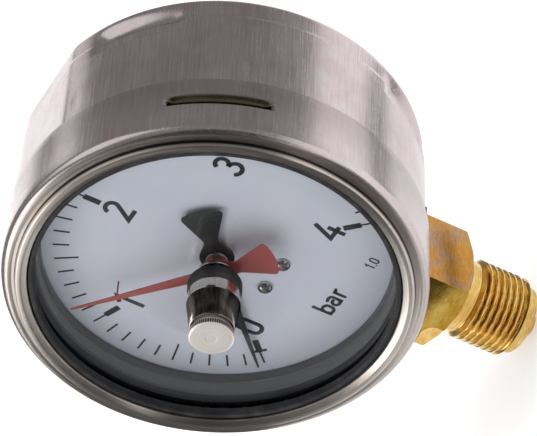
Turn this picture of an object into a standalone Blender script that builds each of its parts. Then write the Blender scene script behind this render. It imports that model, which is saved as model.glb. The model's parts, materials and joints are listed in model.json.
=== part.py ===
"""Bourdon-tube pressure gauge, 100 mm size, bottom entry, with a resettable drag pointer.

Frame: metres, +Z up.  The dial faces -Y.  The origin is on the axis of the threaded stem,
at the sealing face on its end.  Places inside the case are given in millimetres from the
gauge axis: x to the right as seen from the front, z up, and a depth counted rearwards from
the front shoulder of the bayonet ring.
"""
import math

import bmesh
import bpy
from mathutils import Vector

MM = 0.001
GAP = 0.3                      # clearance kept between neighbouring pieces

# ---------------------------------------------------------------- driving dimensions (mm)
AXIS_HEIGHT = 85.5             # gauge axis above the sealing face of the stem
STEM_DEPTH = 33.5              # stem axis behind the ring shoulder
CASE_RADIUS = 49.5
CASE_DEPTH = 49.5              # case back behind the ring shoulder
CASE_WALL = 1.0
CASE_FLAT_HEIGHT = 47.9        # flat at 12 o'clock, above the gauge axis
RING_RADIUS = 50.5
RING_DEPTH = 17.5
BEAD_HEIGHT = 1.5
GLASS_FRONT = 2.4
GLASS_THICKNESS = 2.0
DIAL_DEPTH = 13.2
DIAL_THICKNESS = 0.8
DIAL_RADIUS = 44.0
BLOCK_WIDTH = 22.0             # across the spanner flats
BLOCK_BOTTOM = 20.3            # above the sealing face
BLOCK_TOP = 34.2               # top of the spanner flats
INNER_BLOCK_WIDTH = 21.6       # the block inside the case
NECK_RADIUS = 9.2
THREAD_RADIUS = 10.48          # G 1/2 B
THREAD_PITCH = 1.814
THREAD_TOP = 17.2
THREAD_BOTTOM = 3.0
POINTER_ANGLE = 223.5          # at rest, counter-clockwise from +X; zero is at 225 degrees
DRAG_ANGLE = 140.0             # where the drag pointer was left
TUBE_RADIUS = 31.0             # centre line of the Bourdon tube
TUBE_ROOT_ANGLE = 255.0
TUBE_TIP_ANGLE = -25.0
TUBE_DEPTH = 36.5              # middle of the tube's flat section

# movement: the tube's end A pulls the link A-B, which turns the toothed sector about S
GEAR_MODULE = 0.4
PINION_TEETH = 10
SECTOR_TEETH_FULL = 100
SECTOR_SWING = 27.0            # degrees for the full scale
GEAR_DISTANCE = GEAR_MODULE * (PINION_TEETH + SECTOR_TEETH_FULL) / 2
TAIL_RADIUS = 6.0
TIP_RADIUS = 26.0              # pivot A from the gauge axis
TIP_MID_ANGLE = -30.0          # pivot A at mid scale
TIP_SWING = 6.177              # degrees for the full scale

# depths of the movement's layers behind the ring shoulder
FRONT_PLATE = (14.3, 15.3)
SECTOR_LAYER = (18.5, 19.7)
LINK_LAYER = (20.6, 21.3)
SPRING_LAYER = (22.1, 22.9)
BACK_PLATE = (24.2, 25.2)
POST_FRONT = 25.5

ROUND = 48                     # segments of the large turned pieces
MEDIUM = 20
SMALL = 12


# ---------------------------------------------------------------- scene and helpers
def clear_scene():
    for obj in list(bpy.data.objects):
        bpy.data.objects.remove(obj, do_unlink=True)


def new_collection(name):
    made = bpy.data.collections.new(name)
    bpy.context.scene.collection.children.link(made)
    return made


clear_scene()
PARTS = new_collection("pressure_gauge")
CUTTERS = new_collection("cutters")


def y_at(depth):
    """World y, in millimetres, of a depth behind the ring shoulder."""
    return depth - STEM_DEPTH


def y_depth(y):
    """Depth behind the ring shoulder of a distance behind the stem axis."""
    return y + STEM_DEPTH


def place(x, depth, z):
    """World position of a point given about the gauge axis."""
    return Vector((x, y_at(depth), z + AXIS_HEIGHT)) * MM


def polar(radius, degrees):
    angle = math.radians(degrees)
    return radius * math.cos(angle), radius * math.sin(angle)


def turn(point, degrees, centre=(0.0, 0.0)):
    """A point of the x-z plane turned counter-clockwise, as seen from the front."""
    angle = math.radians(degrees)
    dx, dz = point[0] - centre[0], point[1] - centre[1]
    return (centre[0] + dx * math.cos(angle) - dz * math.sin(angle),
            centre[1] + dx * math.sin(angle) + dz * math.cos(angle))


def paint(obj, colour, roughness, metallic=0.0, alpha=1.0):
    material = bpy.data.materials.new(obj.name)
    material.use_nodes = True
    shader = material.node_tree.nodes["Principled BSDF"]
    shader.inputs["Base Color"].default_value = (*colour, 1.0)
    shader.inputs["Roughness"].default_value = roughness
    shader.inputs["Metallic"].default_value = metallic
    shader.inputs["Alpha"].default_value = alpha
    obj.data.materials.append(material)


STEEL = ((0.62, 0.60, 0.58), 0.32, 1.0)
POLISHED = ((0.75, 0.73, 0.70), 0.15, 1.0)
BRASS = ((0.72, 0.55, 0.22), 0.30, 1.0)
COPPER = ((0.68, 0.42, 0.22), 0.35, 1.0)
RUBBER = ((0.02, 0.02, 0.02), 0.80, 0.0)
DARK_CHROME = ((0.16, 0.15, 0.14), 0.22, 1.0)
WHITE = ((0.85, 0.86, 0.88), 0.50, 0.0)
GREY = ((0.12, 0.12, 0.12), 0.45, 0.0)
BLACK = ((0.03, 0.03, 0.03), 0.40, 0.0)
RED = ((0.62, 0.06, 0.05), 0.40, 0.0)
GLASS = ((0.90, 0.93, 0.94), 0.03, 0.0, 0.25)


def link_part(obj, finish):
    PARTS.objects.link(obj)
    paint(obj, *finish)
    return obj


def link_cutter(obj):
    CUTTERS.objects.link(obj)
    obj.hide_render = True
    obj.display_type = "WIRE"
    return obj


def smooth(mesh, degrees=35.0):
    mesh.shade_smooth()
    mesh.set_sharp_from_angle(angle=math.radians(degrees))


def object_from(bm, name, is_smooth=True):
    """A mesh object from a bmesh built in millimetres."""
    bmesh.ops.scale(bm, vec=(MM, MM, MM), verts=bm.verts)
    mesh = bpy.data.meshes.new(name)
    bmesh.ops.recalc_face_normals(bm, faces=bm.faces)
    bm.to_mesh(mesh)
    bm.free()
    if is_smooth:
        smooth(mesh)
    return bpy.data.objects.new(name, mesh)


def boolean(obj, tool, operation="DIFFERENCE"):
    modifier = obj.modifiers.new(tool.name, "BOOLEAN")
    modifier.operation = operation
    modifier.solver = "EXACT"
    modifier.object = tool
    return obj


def screw_mesh(name, profile, segments, is_skin=False):
    """A solid, or an open skin, turned about local Z from (radius, height) points.

    A profile that starts and ends on the axis stays open there; any other is closed.
    """
    on_axis = is_skin or (profile[0][0] == 0 and profile[-1][0] == 0)
    area = sum(profile[i - 1][0] * profile[i][1] - profile[i][0] * profile[i - 1][1]
               for i in range(len(profile)))
    points = list(profile) if area < 0 else list(reversed(profile))
    mesh = bpy.data.meshes.new(name)
    edges = [(i, i + 1) for i in range(len(points) - 1)]
    if not on_axis:
        edges.append((len(points) - 1, 0))
    mesh.from_pydata([(r * MM, 0.0, h * MM) for r, h in points], edges, [])
    obj = bpy.data.objects.new(name, mesh)
    modifier = obj.modifiers.new("turned", "SCREW")
    modifier.axis = "Z"
    modifier.steps = segments
    modifier.render_steps = segments
    modifier.use_merge_vertices = True
    modifier.merge_threshold = 0.00001
    modifier.use_smooth_shade = True
    return obj


def turned_about_gauge_axis(name, profile, segments, x=0.0, z=0.0, is_skin=False):
    """Profile points are (radius, depth); the axis runs front to back through (x, z)."""
    obj = screw_mesh(name, profile, segments, is_skin)
    obj.rotation_euler = (-math.pi / 2, 0.0, 0.0)
    obj.location = place(x, 0.0, z)
    return obj


def turned_about_stem(name, profile, segments):
    """Profile points are (radius, height above the sealing face)."""
    return screw_mesh(name, profile, segments)


def box(name, low, high):
    """A box between two corners (x, depth, z) given about the gauge axis."""
    bm = bmesh.new()
    bmesh.ops.create_cube(bm, size=1.0)
    size = [high[i] - low[i] for i in range(3)]
    bmesh.ops.scale(bm, vec=size, verts=bm.verts)
    obj = object_from(bm, name, is_smooth=False)
    obj.location = place(*[(low[i] + high[i]) / 2 for i in range(3)])
    return obj


def cylinder(name, radius, depths, x, z, segments=SMALL):
    """A plain cylinder parallel to the gauge axis."""
    profile = [(0, depths[0]), (radius, depths[0]), (radius, depths[1]), (0, depths[1])]
    return turned_about_gauge_axis(name, profile, segments, x, z)


def circle(radius, x=0.0, z=0.0, count=24):
    return [(x + radius * math.cos(2 * math.pi * i / count),
             z + radius * math.sin(2 * math.pi * i / count)) for i in range(count)]


def sheet_piece(name, outlines, depths, x=0.0, z=0.0):
    """A flat piece: outlines in the x-z plane, holes included, filled and made thick."""
    curve = bpy.data.curves.new(name, "CURVE")
    curve.dimensions = "2D"
    curve.fill_mode = "BOTH"
    curve.extrude = (depths[1] - depths[0]) / 2 * MM
    for outline in outlines:
        spline = curve.splines.new("POLY")
        spline.points.add(len(outline) - 1)
        for point, (px, pz) in zip(spline.points, outline):
            point.co = (px * MM, pz * MM, 0.0, 1.0)
        spline.use_cyclic_u = True
    obj = bpy.data.objects.new(name, curve)
    obj.rotation_euler = (math.pi / 2, 0.0, 0.0)
    obj.location = place(x, (depths[0] + depths[1]) / 2, z)
    return obj


def as_mesh(obj):
    """The same object with its evaluated shape as a welded mesh, ready for a Boolean."""
    bpy.context.scene.collection.objects.link(obj)
    bpy.context.view_layer.update()
    depsgraph = bpy.context.evaluated_depsgraph_get()
    mesh = bpy.data.meshes.new_from_object(obj.evaluated_get(depsgraph))
    bm = bmesh.new()
    bm.from_mesh(mesh)
    bmesh.ops.remove_doubles(bm, verts=bm.verts, dist=0.000002)
    bm.to_mesh(mesh)
    bm.free()
    name, matrix = obj.name, obj.matrix_world.copy()
    bpy.data.objects.remove(obj, do_unlink=True)
    made = bpy.data.objects.new(name, mesh)
    made.name = name
    made.matrix_world = matrix
    return made


def cut(obj, *tools):
    for tool in tools:
        boolean(obj, link_cutter(tool))
    return obj


def join(obj, *tools):
    for tool in tools:
        boolean(obj, link_cutter(tool), "UNION")
    return obj


def capsule(start, end, radius, steps=8):
    """Outline of a straight bar with round ends, from one centre to the other."""
    heading = math.atan2(end[1] - start[1], end[0] - start[0])
    outline = []
    for centre, first in ((end, heading - math.pi / 2), (start, heading + math.pi / 2)):
        for i in range(steps + 1):
            angle = first + math.pi * i / steps
            outline.append((centre[0] + radius * math.cos(angle),
                            centre[1] + radius * math.sin(angle)))
    return outline


def rounded_rectangle(low, high, radius, steps=5):
    corners = ((high[0] - radius, high[1] - radius, 0), (low[0] + radius, high[1] - radius, 90),
               (low[0] + radius, low[1] + radius, 180), (high[0] - radius, low[1] + radius, 270))
    outline = []
    for cx, cz, start in corners:
        for i in range(steps + 1):
            angle = math.radians(start + 90 * i / steps)
            outline.append((cx + radius * math.cos(angle), cz + radius * math.sin(angle)))
    return outline


# ---------------------------------------------------------------- case
RECESS_ANGLES = (52.0, 142.0, 232.0, 322.0)   # stamped hollows at the rear edge
RECESS_HALF_SPAN = 14.0
RECESS_FRONT = 37.0
RECESS_REAR = 46.0
RECESS_PRESS = 1.2
WALL_INNER_LIMIT = 45.0                       # the cup's wall lies outside this radius
FLAT_FRONT = 14.5                             # the flat starts behind the ring's seat
STEM_OPENING_HALF = 12.4
VENT = (0.0, 25.0)
VENT_RADIUS = 6.5


def ease(value):
    value = min(1.0, max(0.0, value))
    return value * value * (3 - 2 * value)


def recess_press(angle, depth):
    """How far the wall is pressed inwards at a place of the case."""
    nearest = min(abs((angle - centre + 180) % 360 - 180) for centre in RECESS_ANGLES)
    across = ease((RECESS_HALF_SPAN - nearest) / 3.0)
    along = ease((depth - RECESS_FRONT) / 1.5) * ease((RECESS_REAR - depth) / 3.0)
    return RECESS_PRESS * across * along


def case_outer_profile():
    fillet_centre = (45.6, 46.2)
    fillet = [(fillet_centre[0] + 3.3 * math.cos(math.radians(a)),
               fillet_centre[1] + 3.3 * math.sin(math.radians(a))) for a in (0, 30, 60, 90)]
    front = [(45.1, 4.7), (49.3, 4.7), (49.4, 7.4), (48.3, 8.0), (48.3, 14.0),
             (CASE_RADIUS, 14.7), (CASE_RADIUS, 37.0), (CASE_RADIUS, 38.5),
             (CASE_RADIUS, 41.3), (49.15, 41.7), (49.05, 43.6)]
    return front + fillet + [(30.0, CASE_DEPTH), (0.0, CASE_DEPTH)]


def make_case():
    """A drawn cup: one turned skin, its flat and hollows pressed in, then given its wall."""
    obj = as_mesh(turned_about_gauge_axis("case", case_outer_profile(), ROUND, is_skin=True))
    for vertex in obj.data.vertices:
        x, z, depth = vertex.co.x / MM, -vertex.co.y / MM, vertex.co.z / MM
        radius = math.hypot(x, z)
        if radius > WALL_INNER_LIMIT:
            pressed = radius - recess_press(math.degrees(math.atan2(z, x)), depth)
            x, z = x * pressed / radius, z * pressed / radius
        if depth > FLAT_FRONT:
            z = min(z, CASE_FLAT_HEIGHT)
        vertex.co.x, vertex.co.y = x * MM, -z * MM
    smooth(obj.data)
    wall = obj.modifiers.new("wall", "SOLIDIFY")
    wall.thickness = CASE_WALL * MM
    wall.offset = -1.0
    wall.use_even_offset = True
    opening = STEM_OPENING_HALF
    through_back = (CASE_DEPTH - 3, CASE_DEPTH + 3)
    cut(obj, box("case_stem_opening", (-opening, y_depth(-opening), -56),
                 (opening, y_depth(opening), -42)),
        cylinder("case_vent_hole", VENT_RADIUS, through_back, *VENT, MEDIUM))
    for index, (x, z) in enumerate(CASE_SCREWS):
        cut(obj, cylinder(f"case_screw_hole_{index}", 2.0, through_back, x, z))
    return link_part(obj, STEEL)


# ---------------------------------------------------------------- bayonet ring
LANCE_ANGLES = (27.5, 147.5, 267.5)
LANCE_HALF_SPAN = 14.0


def sector_cutter(name, radii, depths, centre_angle, half_span):
    """A block bent around the gauge axis."""
    arc = [centre_angle + half_span * (i / 6 - 1) for i in range(13)]
    outline = [polar(radii[1], a) for a in arc] + [polar(radii[0], a) for a in reversed(arc)]
    return as_mesh(sheet_piece(name, [outline], depths))


def make_bayonet_ring():
    profile = [(RING_RADIUS, RING_DEPTH), (RING_RADIUS, 0.8), (50.25, 0.25), (49.7, 0.0),
               (47.4, 0.0), (47.3, -1.2), (47.0, -BEAD_HEIGHT), (45.6, -BEAD_HEIGHT),
               (44.6, -1.1), (44.2, -0.3), (44.2, 0.4), (44.9, 0.4), (45.3, -0.6),
               (46.4, -0.7), (46.6, 0.7), (49.4, 0.7), (49.8, 1.1), (49.8, RING_DEPTH)]
    obj = turned_about_gauge_axis("bayonet_ring", profile, ROUND)
    for index, angle in enumerate(LANCE_ANGLES):
        join(obj, sector_cutter(f"lance_tab_{index}", (48.75, 50.0), (11.0, 13.4), angle,
                                LANCE_HALF_SPAN - 2))
        cut(obj, sector_cutter(f"lance_slit_{index}", (48.0, 52.0), (8.9, 10.9), angle,
                               LANCE_HALF_SPAN),
            sector_cutter(f"lance_hollow_{index}", (50.1, 52.0), (10.5, 13.0), angle,
                          LANCE_HALF_SPAN - 1))
    return link_part(obj, POLISHED)


# ---------------------------------------------------------------- window, seals and dial
def make_window():
    back = GLASS_FRONT + GLASS_THICKNESS
    profile = [(3.3, GLASS_FRONT), (49.0, GLASS_FRONT), (49.0, back), (3.3, back)]
    return link_part(turned_about_gauge_axis("window", profile, ROUND), GLASS)


def make_window_seal():
    """A flat ring under the bead, with a collar that shows inside the steel lip."""
    collar = 42.6
    profile = [(43.9, 1.0), (49.3, 1.0), (49.3, GLASS_FRONT - GAP), (collar, GLASS_FRONT - GAP),
               (collar, 0.0), (collar + 0.2, -0.2), (43.7, -0.2), (43.9, 0.0)]
    return link_part(turned_about_gauge_axis("window_seal", profile, ROUND), RUBBER)


def make_spacer_ring():
    profile = [(44.6, 4.7), (44.6, 12.9), (42.0, 12.9), (42.0, 10.4), (42.5, 10.2),
               (42.5, 7.2), (43.3, 6.9), (43.3, 4.7)]
    return link_part(turned_about_gauge_axis("spacer_ring", profile, ROUND), GREY)


DIAL_SCREWS = {"left": (-4.4, -15.4), "right": (4.4, -15.4)}


def make_dial():
    holes = [circle(3.0), *[circle(1.5, x, z, 16) for x, z in DIAL_SCREWS.values()]]
    obj = sheet_piece("dial", [circle(DIAL_RADIUS, count=ROUND), *holes],
                      (DIAL_DEPTH, DIAL_DEPTH + DIAL_THICKNESS))
    return link_part(obj, WHITE)


def pan_screw(name, head_radius, head_height, shank_radius, length, x, z, face, finish,
              direction=1, slot=True):
    """A pan-head screw whose head sits on the face at a depth.

    The shank runs to the rear for direction 1 and to the front for -1.
    """
    outer = face - direction * (GAP + head_height)
    seat = face - direction * GAP
    tip = seat + direction * length
    profile = [(0, outer), (head_radius * 0.6, outer), (head_radius, outer + direction * head_height * 0.5),
               (head_radius, seat), (shank_radius, seat), (shank_radius, tip), (0, tip)]
    obj = turned_about_gauge_axis(name, profile, SMALL, x, z)
    if slot:
        groove = head_height * 0.4
        low = min(outer, outer + direction * groove)
        cut(obj, box(f"{name}_slot", (x - head_radius * 1.2, low - 0.2 * (direction > 0), z - 0.3),
                     (x + head_radius * 1.2, low + groove + 0.2 * (direction < 0), z + 0.3)))
    return link_part(obj, finish)


# ---------------------------------------------------------------- socket and its fixings
CASE_SCREWS = ((-6.5, -36.0), (6.5, -36.0))
MOVEMENT_SCREWS = ((-5.0, -13.0), (5.0, -20.0))


def thread_profile():
    """Ridges of the stem, as (radius, height) from the plain end up to the neck."""
    depth = 0.64 * THREAD_PITCH
    turns = int((THREAD_TOP - THREAD_BOTTOM) / THREAD_PITCH)
    points = []
    for i in range(turns):
        base = THREAD_BOTTOM + 0.5 + i * THREAD_PITCH
        points += [(THREAD_RADIUS - depth, base), (THREAD_RADIUS, base + 0.4 * THREAD_PITCH),
                   (THREAD_RADIUS, base + 0.6 * THREAD_PITCH)]
    return points + [(THREAD_RADIUS - depth, base + THREAD_PITCH)]


def make_pressure_stem():
    half = BLOCK_WIDTH / 2
    inner = INNER_BLOCK_WIDTH / 2
    turned = [(0, -3.0), (2.8, -3.0), (3.0, -2.8), (3.0, 0.0), (8.35, 0.0), (8.75, 0.4),
              (8.75, THREAD_BOTTOM), *thread_profile(), (NECK_RADIUS, THREAD_TOP),
              (NECK_RADIUS, BLOCK_BOTTOM + 4), (0, BLOCK_BOTTOM + 4)]
    obj = turned_about_stem("pressure_stem", turned, 28)
    block = box("stem_block", (-half, y_depth(-half), BLOCK_BOTTOM - AXIS_HEIGHT),
                (half, y_depth(half), BLOCK_TOP - AXIS_HEIGHT))
    chamfer = [(0, BLOCK_BOTTOM - 1), (half - 1.9, BLOCK_BOTTOM - 1), (half * 1.5, BLOCK_BOTTOM + 2.2),
               (half * 1.5, BLOCK_TOP + 5), (0, BLOCK_TOP + 5)]
    boolean(block, link_cutter(turned_about_stem("block_chamfer", chamfer, 28)), "INTERSECT")
    riser = box("stem_riser", (-inner, y_depth(-inner), BLOCK_TOP - 2 - AXIS_HEIGHT),
                (inner, y_depth(inner), -40))
    head = box("stem_head", (-inner, y_depth(-7.0), -42), (inner, y_depth(14.7), -24))
    post = box("stem_post", (-8, POST_FRONT, -26), (8, POST_FRONT + 6, -6))
    join(obj, block, riser, head, post)
    bore = turned_about_stem("pressure_bore", [(0, -5), (1.6, -5), (1.6, 55), (0, 55)], 16)
    feed = box("feed_bore", (-9, TUBE_DEPTH - 1, -31), (0, TUBE_DEPTH + 1, -29))
    pocket = box("tube_pocket", (-12, TUBE_DEPTH - 6.9, -33.6), (-7.2, TUBE_DEPTH + 6.9, -26.0))
    corner_flat = as_mesh(sheet_piece("corner_flat", [capsule((-14.0, -65.2), (-3.4, -63.9), 3.8)],
                                      (y_depth(-half - 1), y_depth(-half) + 0.5)))
    cut(obj, bore, feed, pocket, corner_flat)
    for index, (x, z) in enumerate(MOVEMENT_SCREWS):
        cut(obj, cylinder(f"movement_tap_{index}", 1.3, (POST_FRONT - 1, POST_FRONT + 5), x, z, 12))
    for index, (x, z) in enumerate(CASE_SCREWS):
        cut(obj, cylinder(f"case_tap_{index}", 1.8, (42.0, 50.0), x, z, 12))
    return link_part(obj, BRASS)


def make_stem_gasket():
    obj = box("stem_gasket", (-12.1, y_depth(-12.1), -51.0), (12.1, y_depth(12.1), -46.0))
    cut(obj, box("gasket_hole", (-11.3, y_depth(-11.3), -60.0), (11.3, y_depth(11.3), -40.0)))
    return link_part(obj, RUBBER)


def make_blowout_plug():
    profile = [(0, 46.5), (7.2, 46.5), (7.2, 48.2), (6.2, 48.2), (6.2, 49.0), (5.9, 49.4), (0, 49.4)]
    return link_part(turned_about_gauge_axis("blowout_plug", profile, MEDIUM, *VENT), RUBBER)


# ---------------------------------------------------------------- Bourdon tube and linkage
def linkage():
    """Rest places of the tube-end pivot, the sector arbor and the sector-tail pivot."""
    reach = TIP_RADIUS - TAIL_RADIUS
    length = math.sqrt(GEAR_DISTANCE ** 2 - reach ** 2)
    radial, tangent = polar(1.0, TIP_MID_ANGLE), polar(1.0, TIP_MID_ANGLE + 90)
    tip_mid = (TIP_RADIUS * radial[0], TIP_RADIUS * radial[1])
    arbor = (reach * radial[0] - length * tangent[0], reach * radial[1] - length * tangent[1])
    tail_mid = (arbor[0] + TAIL_RADIUS * radial[0], arbor[1] + TAIL_RADIUS * radial[1])
    return turn(tip_mid, -TIP_SWING / 2), arbor, turn(tail_mid, -SECTOR_SWING / 2, arbor)


TIP_PIVOT, SECTOR_ARBOR, TAIL_PIVOT = linkage()


def make_bourdon_tube():
    """A flattened tube bent to a C: open at its root, closed at its tip."""
    bm = bmesh.new()
    section = []
    for i in range(12):
        across, along = polar(1.0, 30.0 * i)
        x, z = polar(TUBE_RADIUS + 2.2 * across, TUBE_ROOT_ANGLE)
        section.append(bm.verts.new((x, y_at(TUBE_DEPTH) + 6.5 * along, z)))
    loop = [bm.edges.new((section[i - 1], section[i])) for i in range(12)]
    swept = bmesh.ops.spin(bm, geom=section + loop, cent=(0, 0, 0), axis=(0, 1, 0), dvec=(0, 0, 0),
                           angle=math.radians(TUBE_ROOT_ANGLE - TUBE_TIP_ANGLE), steps=30,
                           use_duplicate=False)
    tip = [item for item in swept["geom_last"] if isinstance(item, bmesh.types.BMVert)]
    bmesh.ops.contextual_create(bm, geom=tip)
    bmesh.ops.translate(bm, vec=(0, 0, AXIS_HEIGHT), verts=bm.verts)
    obj = object_from(bm, "bourdon_tube")
    wall = obj.modifiers.new("wall", "SOLIDIFY")
    wall.thickness = 0.4 * MM
    wall.offset = -1.0
    return link_part(obj, COPPER)


def oriented_box(name, radial, tangential, depths, angle):
    """A box laid along the radius at an angle."""
    corners = [(radial[0], tangential[0]), (radial[1], tangential[0]),
               (radial[1], tangential[1]), (radial[0], tangential[1])]
    return as_mesh(sheet_piece(name, [[turn(c, angle) for c in corners]], depths))


def make_tube_end_piece():
    angle = TIP_MID_ANGLE - TIP_SWING / 2
    body_depths = (y_depth(-11.8), TUBE_DEPTH + 6.6)
    obj = oriented_box("tube_end_piece", (28.4, 33.4), (-3.4, 3.4), body_depths, angle)
    lug = capsule(TIP_PIVOT, turn((30.0, 0.0), angle), 2.4)
    join(obj, as_mesh(sheet_piece("end_lug", [lug], (y_depth(-11.8), y_depth(-10.3)))))
    cut(obj, cylinder("end_pivot_hole", 1.1, (y_depth(-13), y_depth(-9)), *TIP_PIVOT))
    return link_part(obj, BRASS)


def pivot_pin(name, centre, front, back):
    """A headed pin between two depths."""
    profile = [(0, front), (1.6, front), (1.6, front + 0.6), (0.8, front + 0.6),
               (0.8, back - 0.6), (1.6, back - 0.6), (1.6, back), (0, back)]
    return link_part(turned_about_gauge_axis(name, profile, SMALL, *centre), STEEL)


def make_link():
    holes = [circle(1.1, *TIP_PIVOT, 20), circle(1.2, *TAIL_PIVOT, 20)]
    obj = sheet_piece("link", [capsule(TIP_PIVOT, TAIL_PIVOT, 2.1), *holes], LINK_LAYER)
    return link_part(obj, BRASS)


# ---------------------------------------------------------------- gears
def tooth(pitch_radius, angle, pitch_angle):
    """Four corners of one tooth that points outwards."""
    root = pitch_radius - 1.2 * GEAR_MODULE
    tip = pitch_radius + 0.75 * GEAR_MODULE
    return [polar(root, angle - 0.23 * pitch_angle), polar(tip, angle - 0.10 * pitch_angle),
            polar(tip, angle + 0.10 * pitch_angle), polar(root, angle + 0.23 * pitch_angle)]


def make_pinion_arbor():
    """The pinion and its arbor are one turned piece; it carries the pointer in front."""
    pitch_angle = 360.0 / PINION_TEETH
    facing = math.degrees(math.atan2(SECTOR_ARBOR[1], SECTOR_ARBOR[0]))
    outline = []
    for i in range(PINION_TEETH):
        outline += tooth(GEAR_MODULE * PINION_TEETH / 2, facing + (i + 0.5) * pitch_angle, pitch_angle)
    gear = sheet_piece("pinion_teeth", [outline], (SECTOR_LAYER[0] - 0.4, SECTOR_LAYER[1] + 0.4))
    profile = [(0, 10.6), (0.9, 10.6), (0.9, 17.5), (1.1, 17.5), (1.1, 21.0), (0.9, 21.0),
               (0.9, BACK_PLATE[1]), (0, BACK_PLATE[1])]
    obj = turned_about_gauge_axis("pinion_arbor", profile, SMALL)
    return link_part(join(obj, as_mesh(gear)), STEEL)


def make_sector_gear():
    pitch_angle = 360.0 / SECTOR_TEETH_FULL
    pitch_radius = GEAR_MODULE * SECTOR_TEETH_FULL / 2
    facing = math.degrees(math.atan2(-SECTOR_ARBOR[1], -SECTOR_ARBOR[0]))
    outline = []
    for i in range(-9, 2):
        outline += tooth(pitch_radius, facing + i * pitch_angle, pitch_angle)
    first, last = facing - 9.4 * pitch_angle, facing + 1.4 * pitch_angle
    outline.append(polar(pitch_radius - 1.2 * GEAR_MODULE, last))
    outline.append(polar(pitch_radius - 3.2, last))
    outline.append(polar(4.2, last + 12))
    outline += [polar(3.6, last + 25 + 12 * i) for i in range(8)]
    tail_angle = math.degrees(math.atan2(TAIL_PIVOT[1] - SECTOR_ARBOR[1],
                                         TAIL_PIVOT[0] - SECTOR_ARBOR[0]))
    tail = polar(TAIL_RADIUS, tail_angle)
    outline += [(tail[0] + 2.0 * math.cos(math.radians(a)), tail[1] + 2.0 * math.sin(math.radians(a)))
                for a in range(int(tail_angle) - 90, int(tail_angle) + 91, 30)]
    outline += [polar(3.6, tail_angle + 60 + 12 * i) for i in range(4)]
    outline.append(polar(4.2, first - 12))
    outline.append(polar(pitch_radius - 3.2, first))
    outline.append(polar(pitch_radius - 1.2 * GEAR_MODULE, first))
    holes = [circle(1.3, count=20), circle(1.1, *tail, 20)]
    obj = sheet_piece("sector_gear", [outline, *holes], SECTOR_LAYER, *SECTOR_ARBOR)
    return link_part(obj, BRASS)


def make_sector_arbor():
    profile = [(0, FRONT_PLATE[0]), (0.8, FRONT_PLATE[0]), (0.8, 16.2), (2.2, 16.2),
               (2.2, SECTOR_LAYER[0] - 0.1), (1.1, SECTOR_LAYER[0] - 0.1), (1.1, 23.2),
               (0.8, 23.2), (0.8, BACK_PLATE[1]), (0, BACK_PLATE[1])]
    obj = turned_about_gauge_axis("sector_arbor", profile, SMALL, *SECTOR_ARBOR)
    return link_part(obj, STEEL)


# ---------------------------------------------------------------- movement frame
PILLARS = ((-5.0, -27.5), (16.0, 4.0), (13.5, -28.0))
PLATE_LOW, PLATE_HIGH = (-8.0, -31.0), (19.0, 7.0)


def make_movement_plate(name, depths, extra_holes):
    holes = [circle(1.2, *SECTOR_ARBOR, 16), circle(1.3, count=16)]
    holes += [circle(1.1, x, z, 16) for x, z in PILLARS]
    holes += [circle(1.5, x, z, 16) for x, z in extra_holes]
    outline = rounded_rectangle(PLATE_LOW, PLATE_HIGH, 3.0)
    return link_part(sheet_piece(name, [outline, *holes], depths), BRASS)


def make_pillar(index, x, z):
    front, back = FRONT_PLATE[0] + 0.1, BACK_PLATE[1] - 0.1
    profile = [(0, front), (0.8, front), (0.8, FRONT_PLATE[1] + GAP), (2.0, FRONT_PLATE[1] + GAP),
               (2.0, BACK_PLATE[0] - GAP), (0.8, BACK_PLATE[0] - GAP), (0.8, back), (0, back)]
    obj = turned_about_gauge_axis(f"movement_pillar_{index}", profile, SMALL, x, z)
    return link_part(obj, BRASS)


def make_hairspring():
    """A flat spiral around the pinion arbor, from its collet to the stud."""
    turns, inner, outer, per_turn = 4.0, 2.0, 6.4, 16
    bm = bmesh.new()
    front = []
    for i in range(int(turns * per_turn) + 1):
        share = i / (turns * per_turn)
        x, z = polar(inner + (outer - inner) * share, 360.0 * turns * share)
        front.append(bm.verts.new((x, y_at(SPRING_LAYER[0]), z + AXIS_HEIGHT)))
    edges = [bm.edges.new(pair) for pair in zip(front, front[1:])]
    made = bmesh.ops.extrude_edge_only(bm, edges=edges)
    back = [item for item in made["geom"] if isinstance(item, bmesh.types.BMVert)]
    bmesh.ops.translate(bm, vec=(0, SPRING_LAYER[1] - SPRING_LAYER[0], 0), verts=back)
    obj = object_from(bm, "hairspring")
    ribbon = obj.modifiers.new("ribbon", "SOLIDIFY")
    ribbon.thickness = 0.2 * MM
    ribbon.offset = 0.0
    return link_part(obj, COPPER)


def make_spring_collet():
    profile = [(1.2, 21.6), (1.6, 21.6), (1.6, 23.4), (1.2, 23.4)]
    return link_part(turned_about_gauge_axis("spring_collet", profile, SMALL), BRASS)


def make_hairspring_stud():
    profile = [(0, 21.8), (0.7, 21.8), (0.7, BACK_PLATE[0] - GAP), (0, BACK_PLATE[0] - GAP)]
    return link_part(turned_about_gauge_axis("hairspring_stud", profile, SMALL, 7.5, 0), BRASS)


# ---------------------------------------------------------------- pointers
FAN_RADIUS = 15.0              # of the counterweight's outer edge


def pointer_outline(tip_radius):
    """A needle along +X with a fan-shaped counterweight behind the hub."""
    fan = [polar(FAN_RADIUS, a) for a in (161.0, 163.5, 170.0, 180.0, 190.0, 196.5, 199.0)]
    corner = 21.0
    fan = [polar(FAN_RADIUS - 0.9, 180 - corner), *fan, polar(FAN_RADIUS - 0.9, 180 + corner)]
    upper = [(tip_radius, 0.25), (14.0, 1.1), (4.5, 1.4), (3.4, 2.8), (0.0, 4.2), (-3.4, 2.8),
             (-5.0, 1.6)]
    lower = [(x, -z) for x, z in reversed(upper)]
    return upper + fan + lower


def make_pointer(name, tip_radius, depths, angle, bore, finish):
    outline = [turn(point, angle) for point in pointer_outline(tip_radius)]
    obj = sheet_piece(name, [outline, circle(bore, count=20)], depths)
    return link_part(obj, finish)


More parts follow.
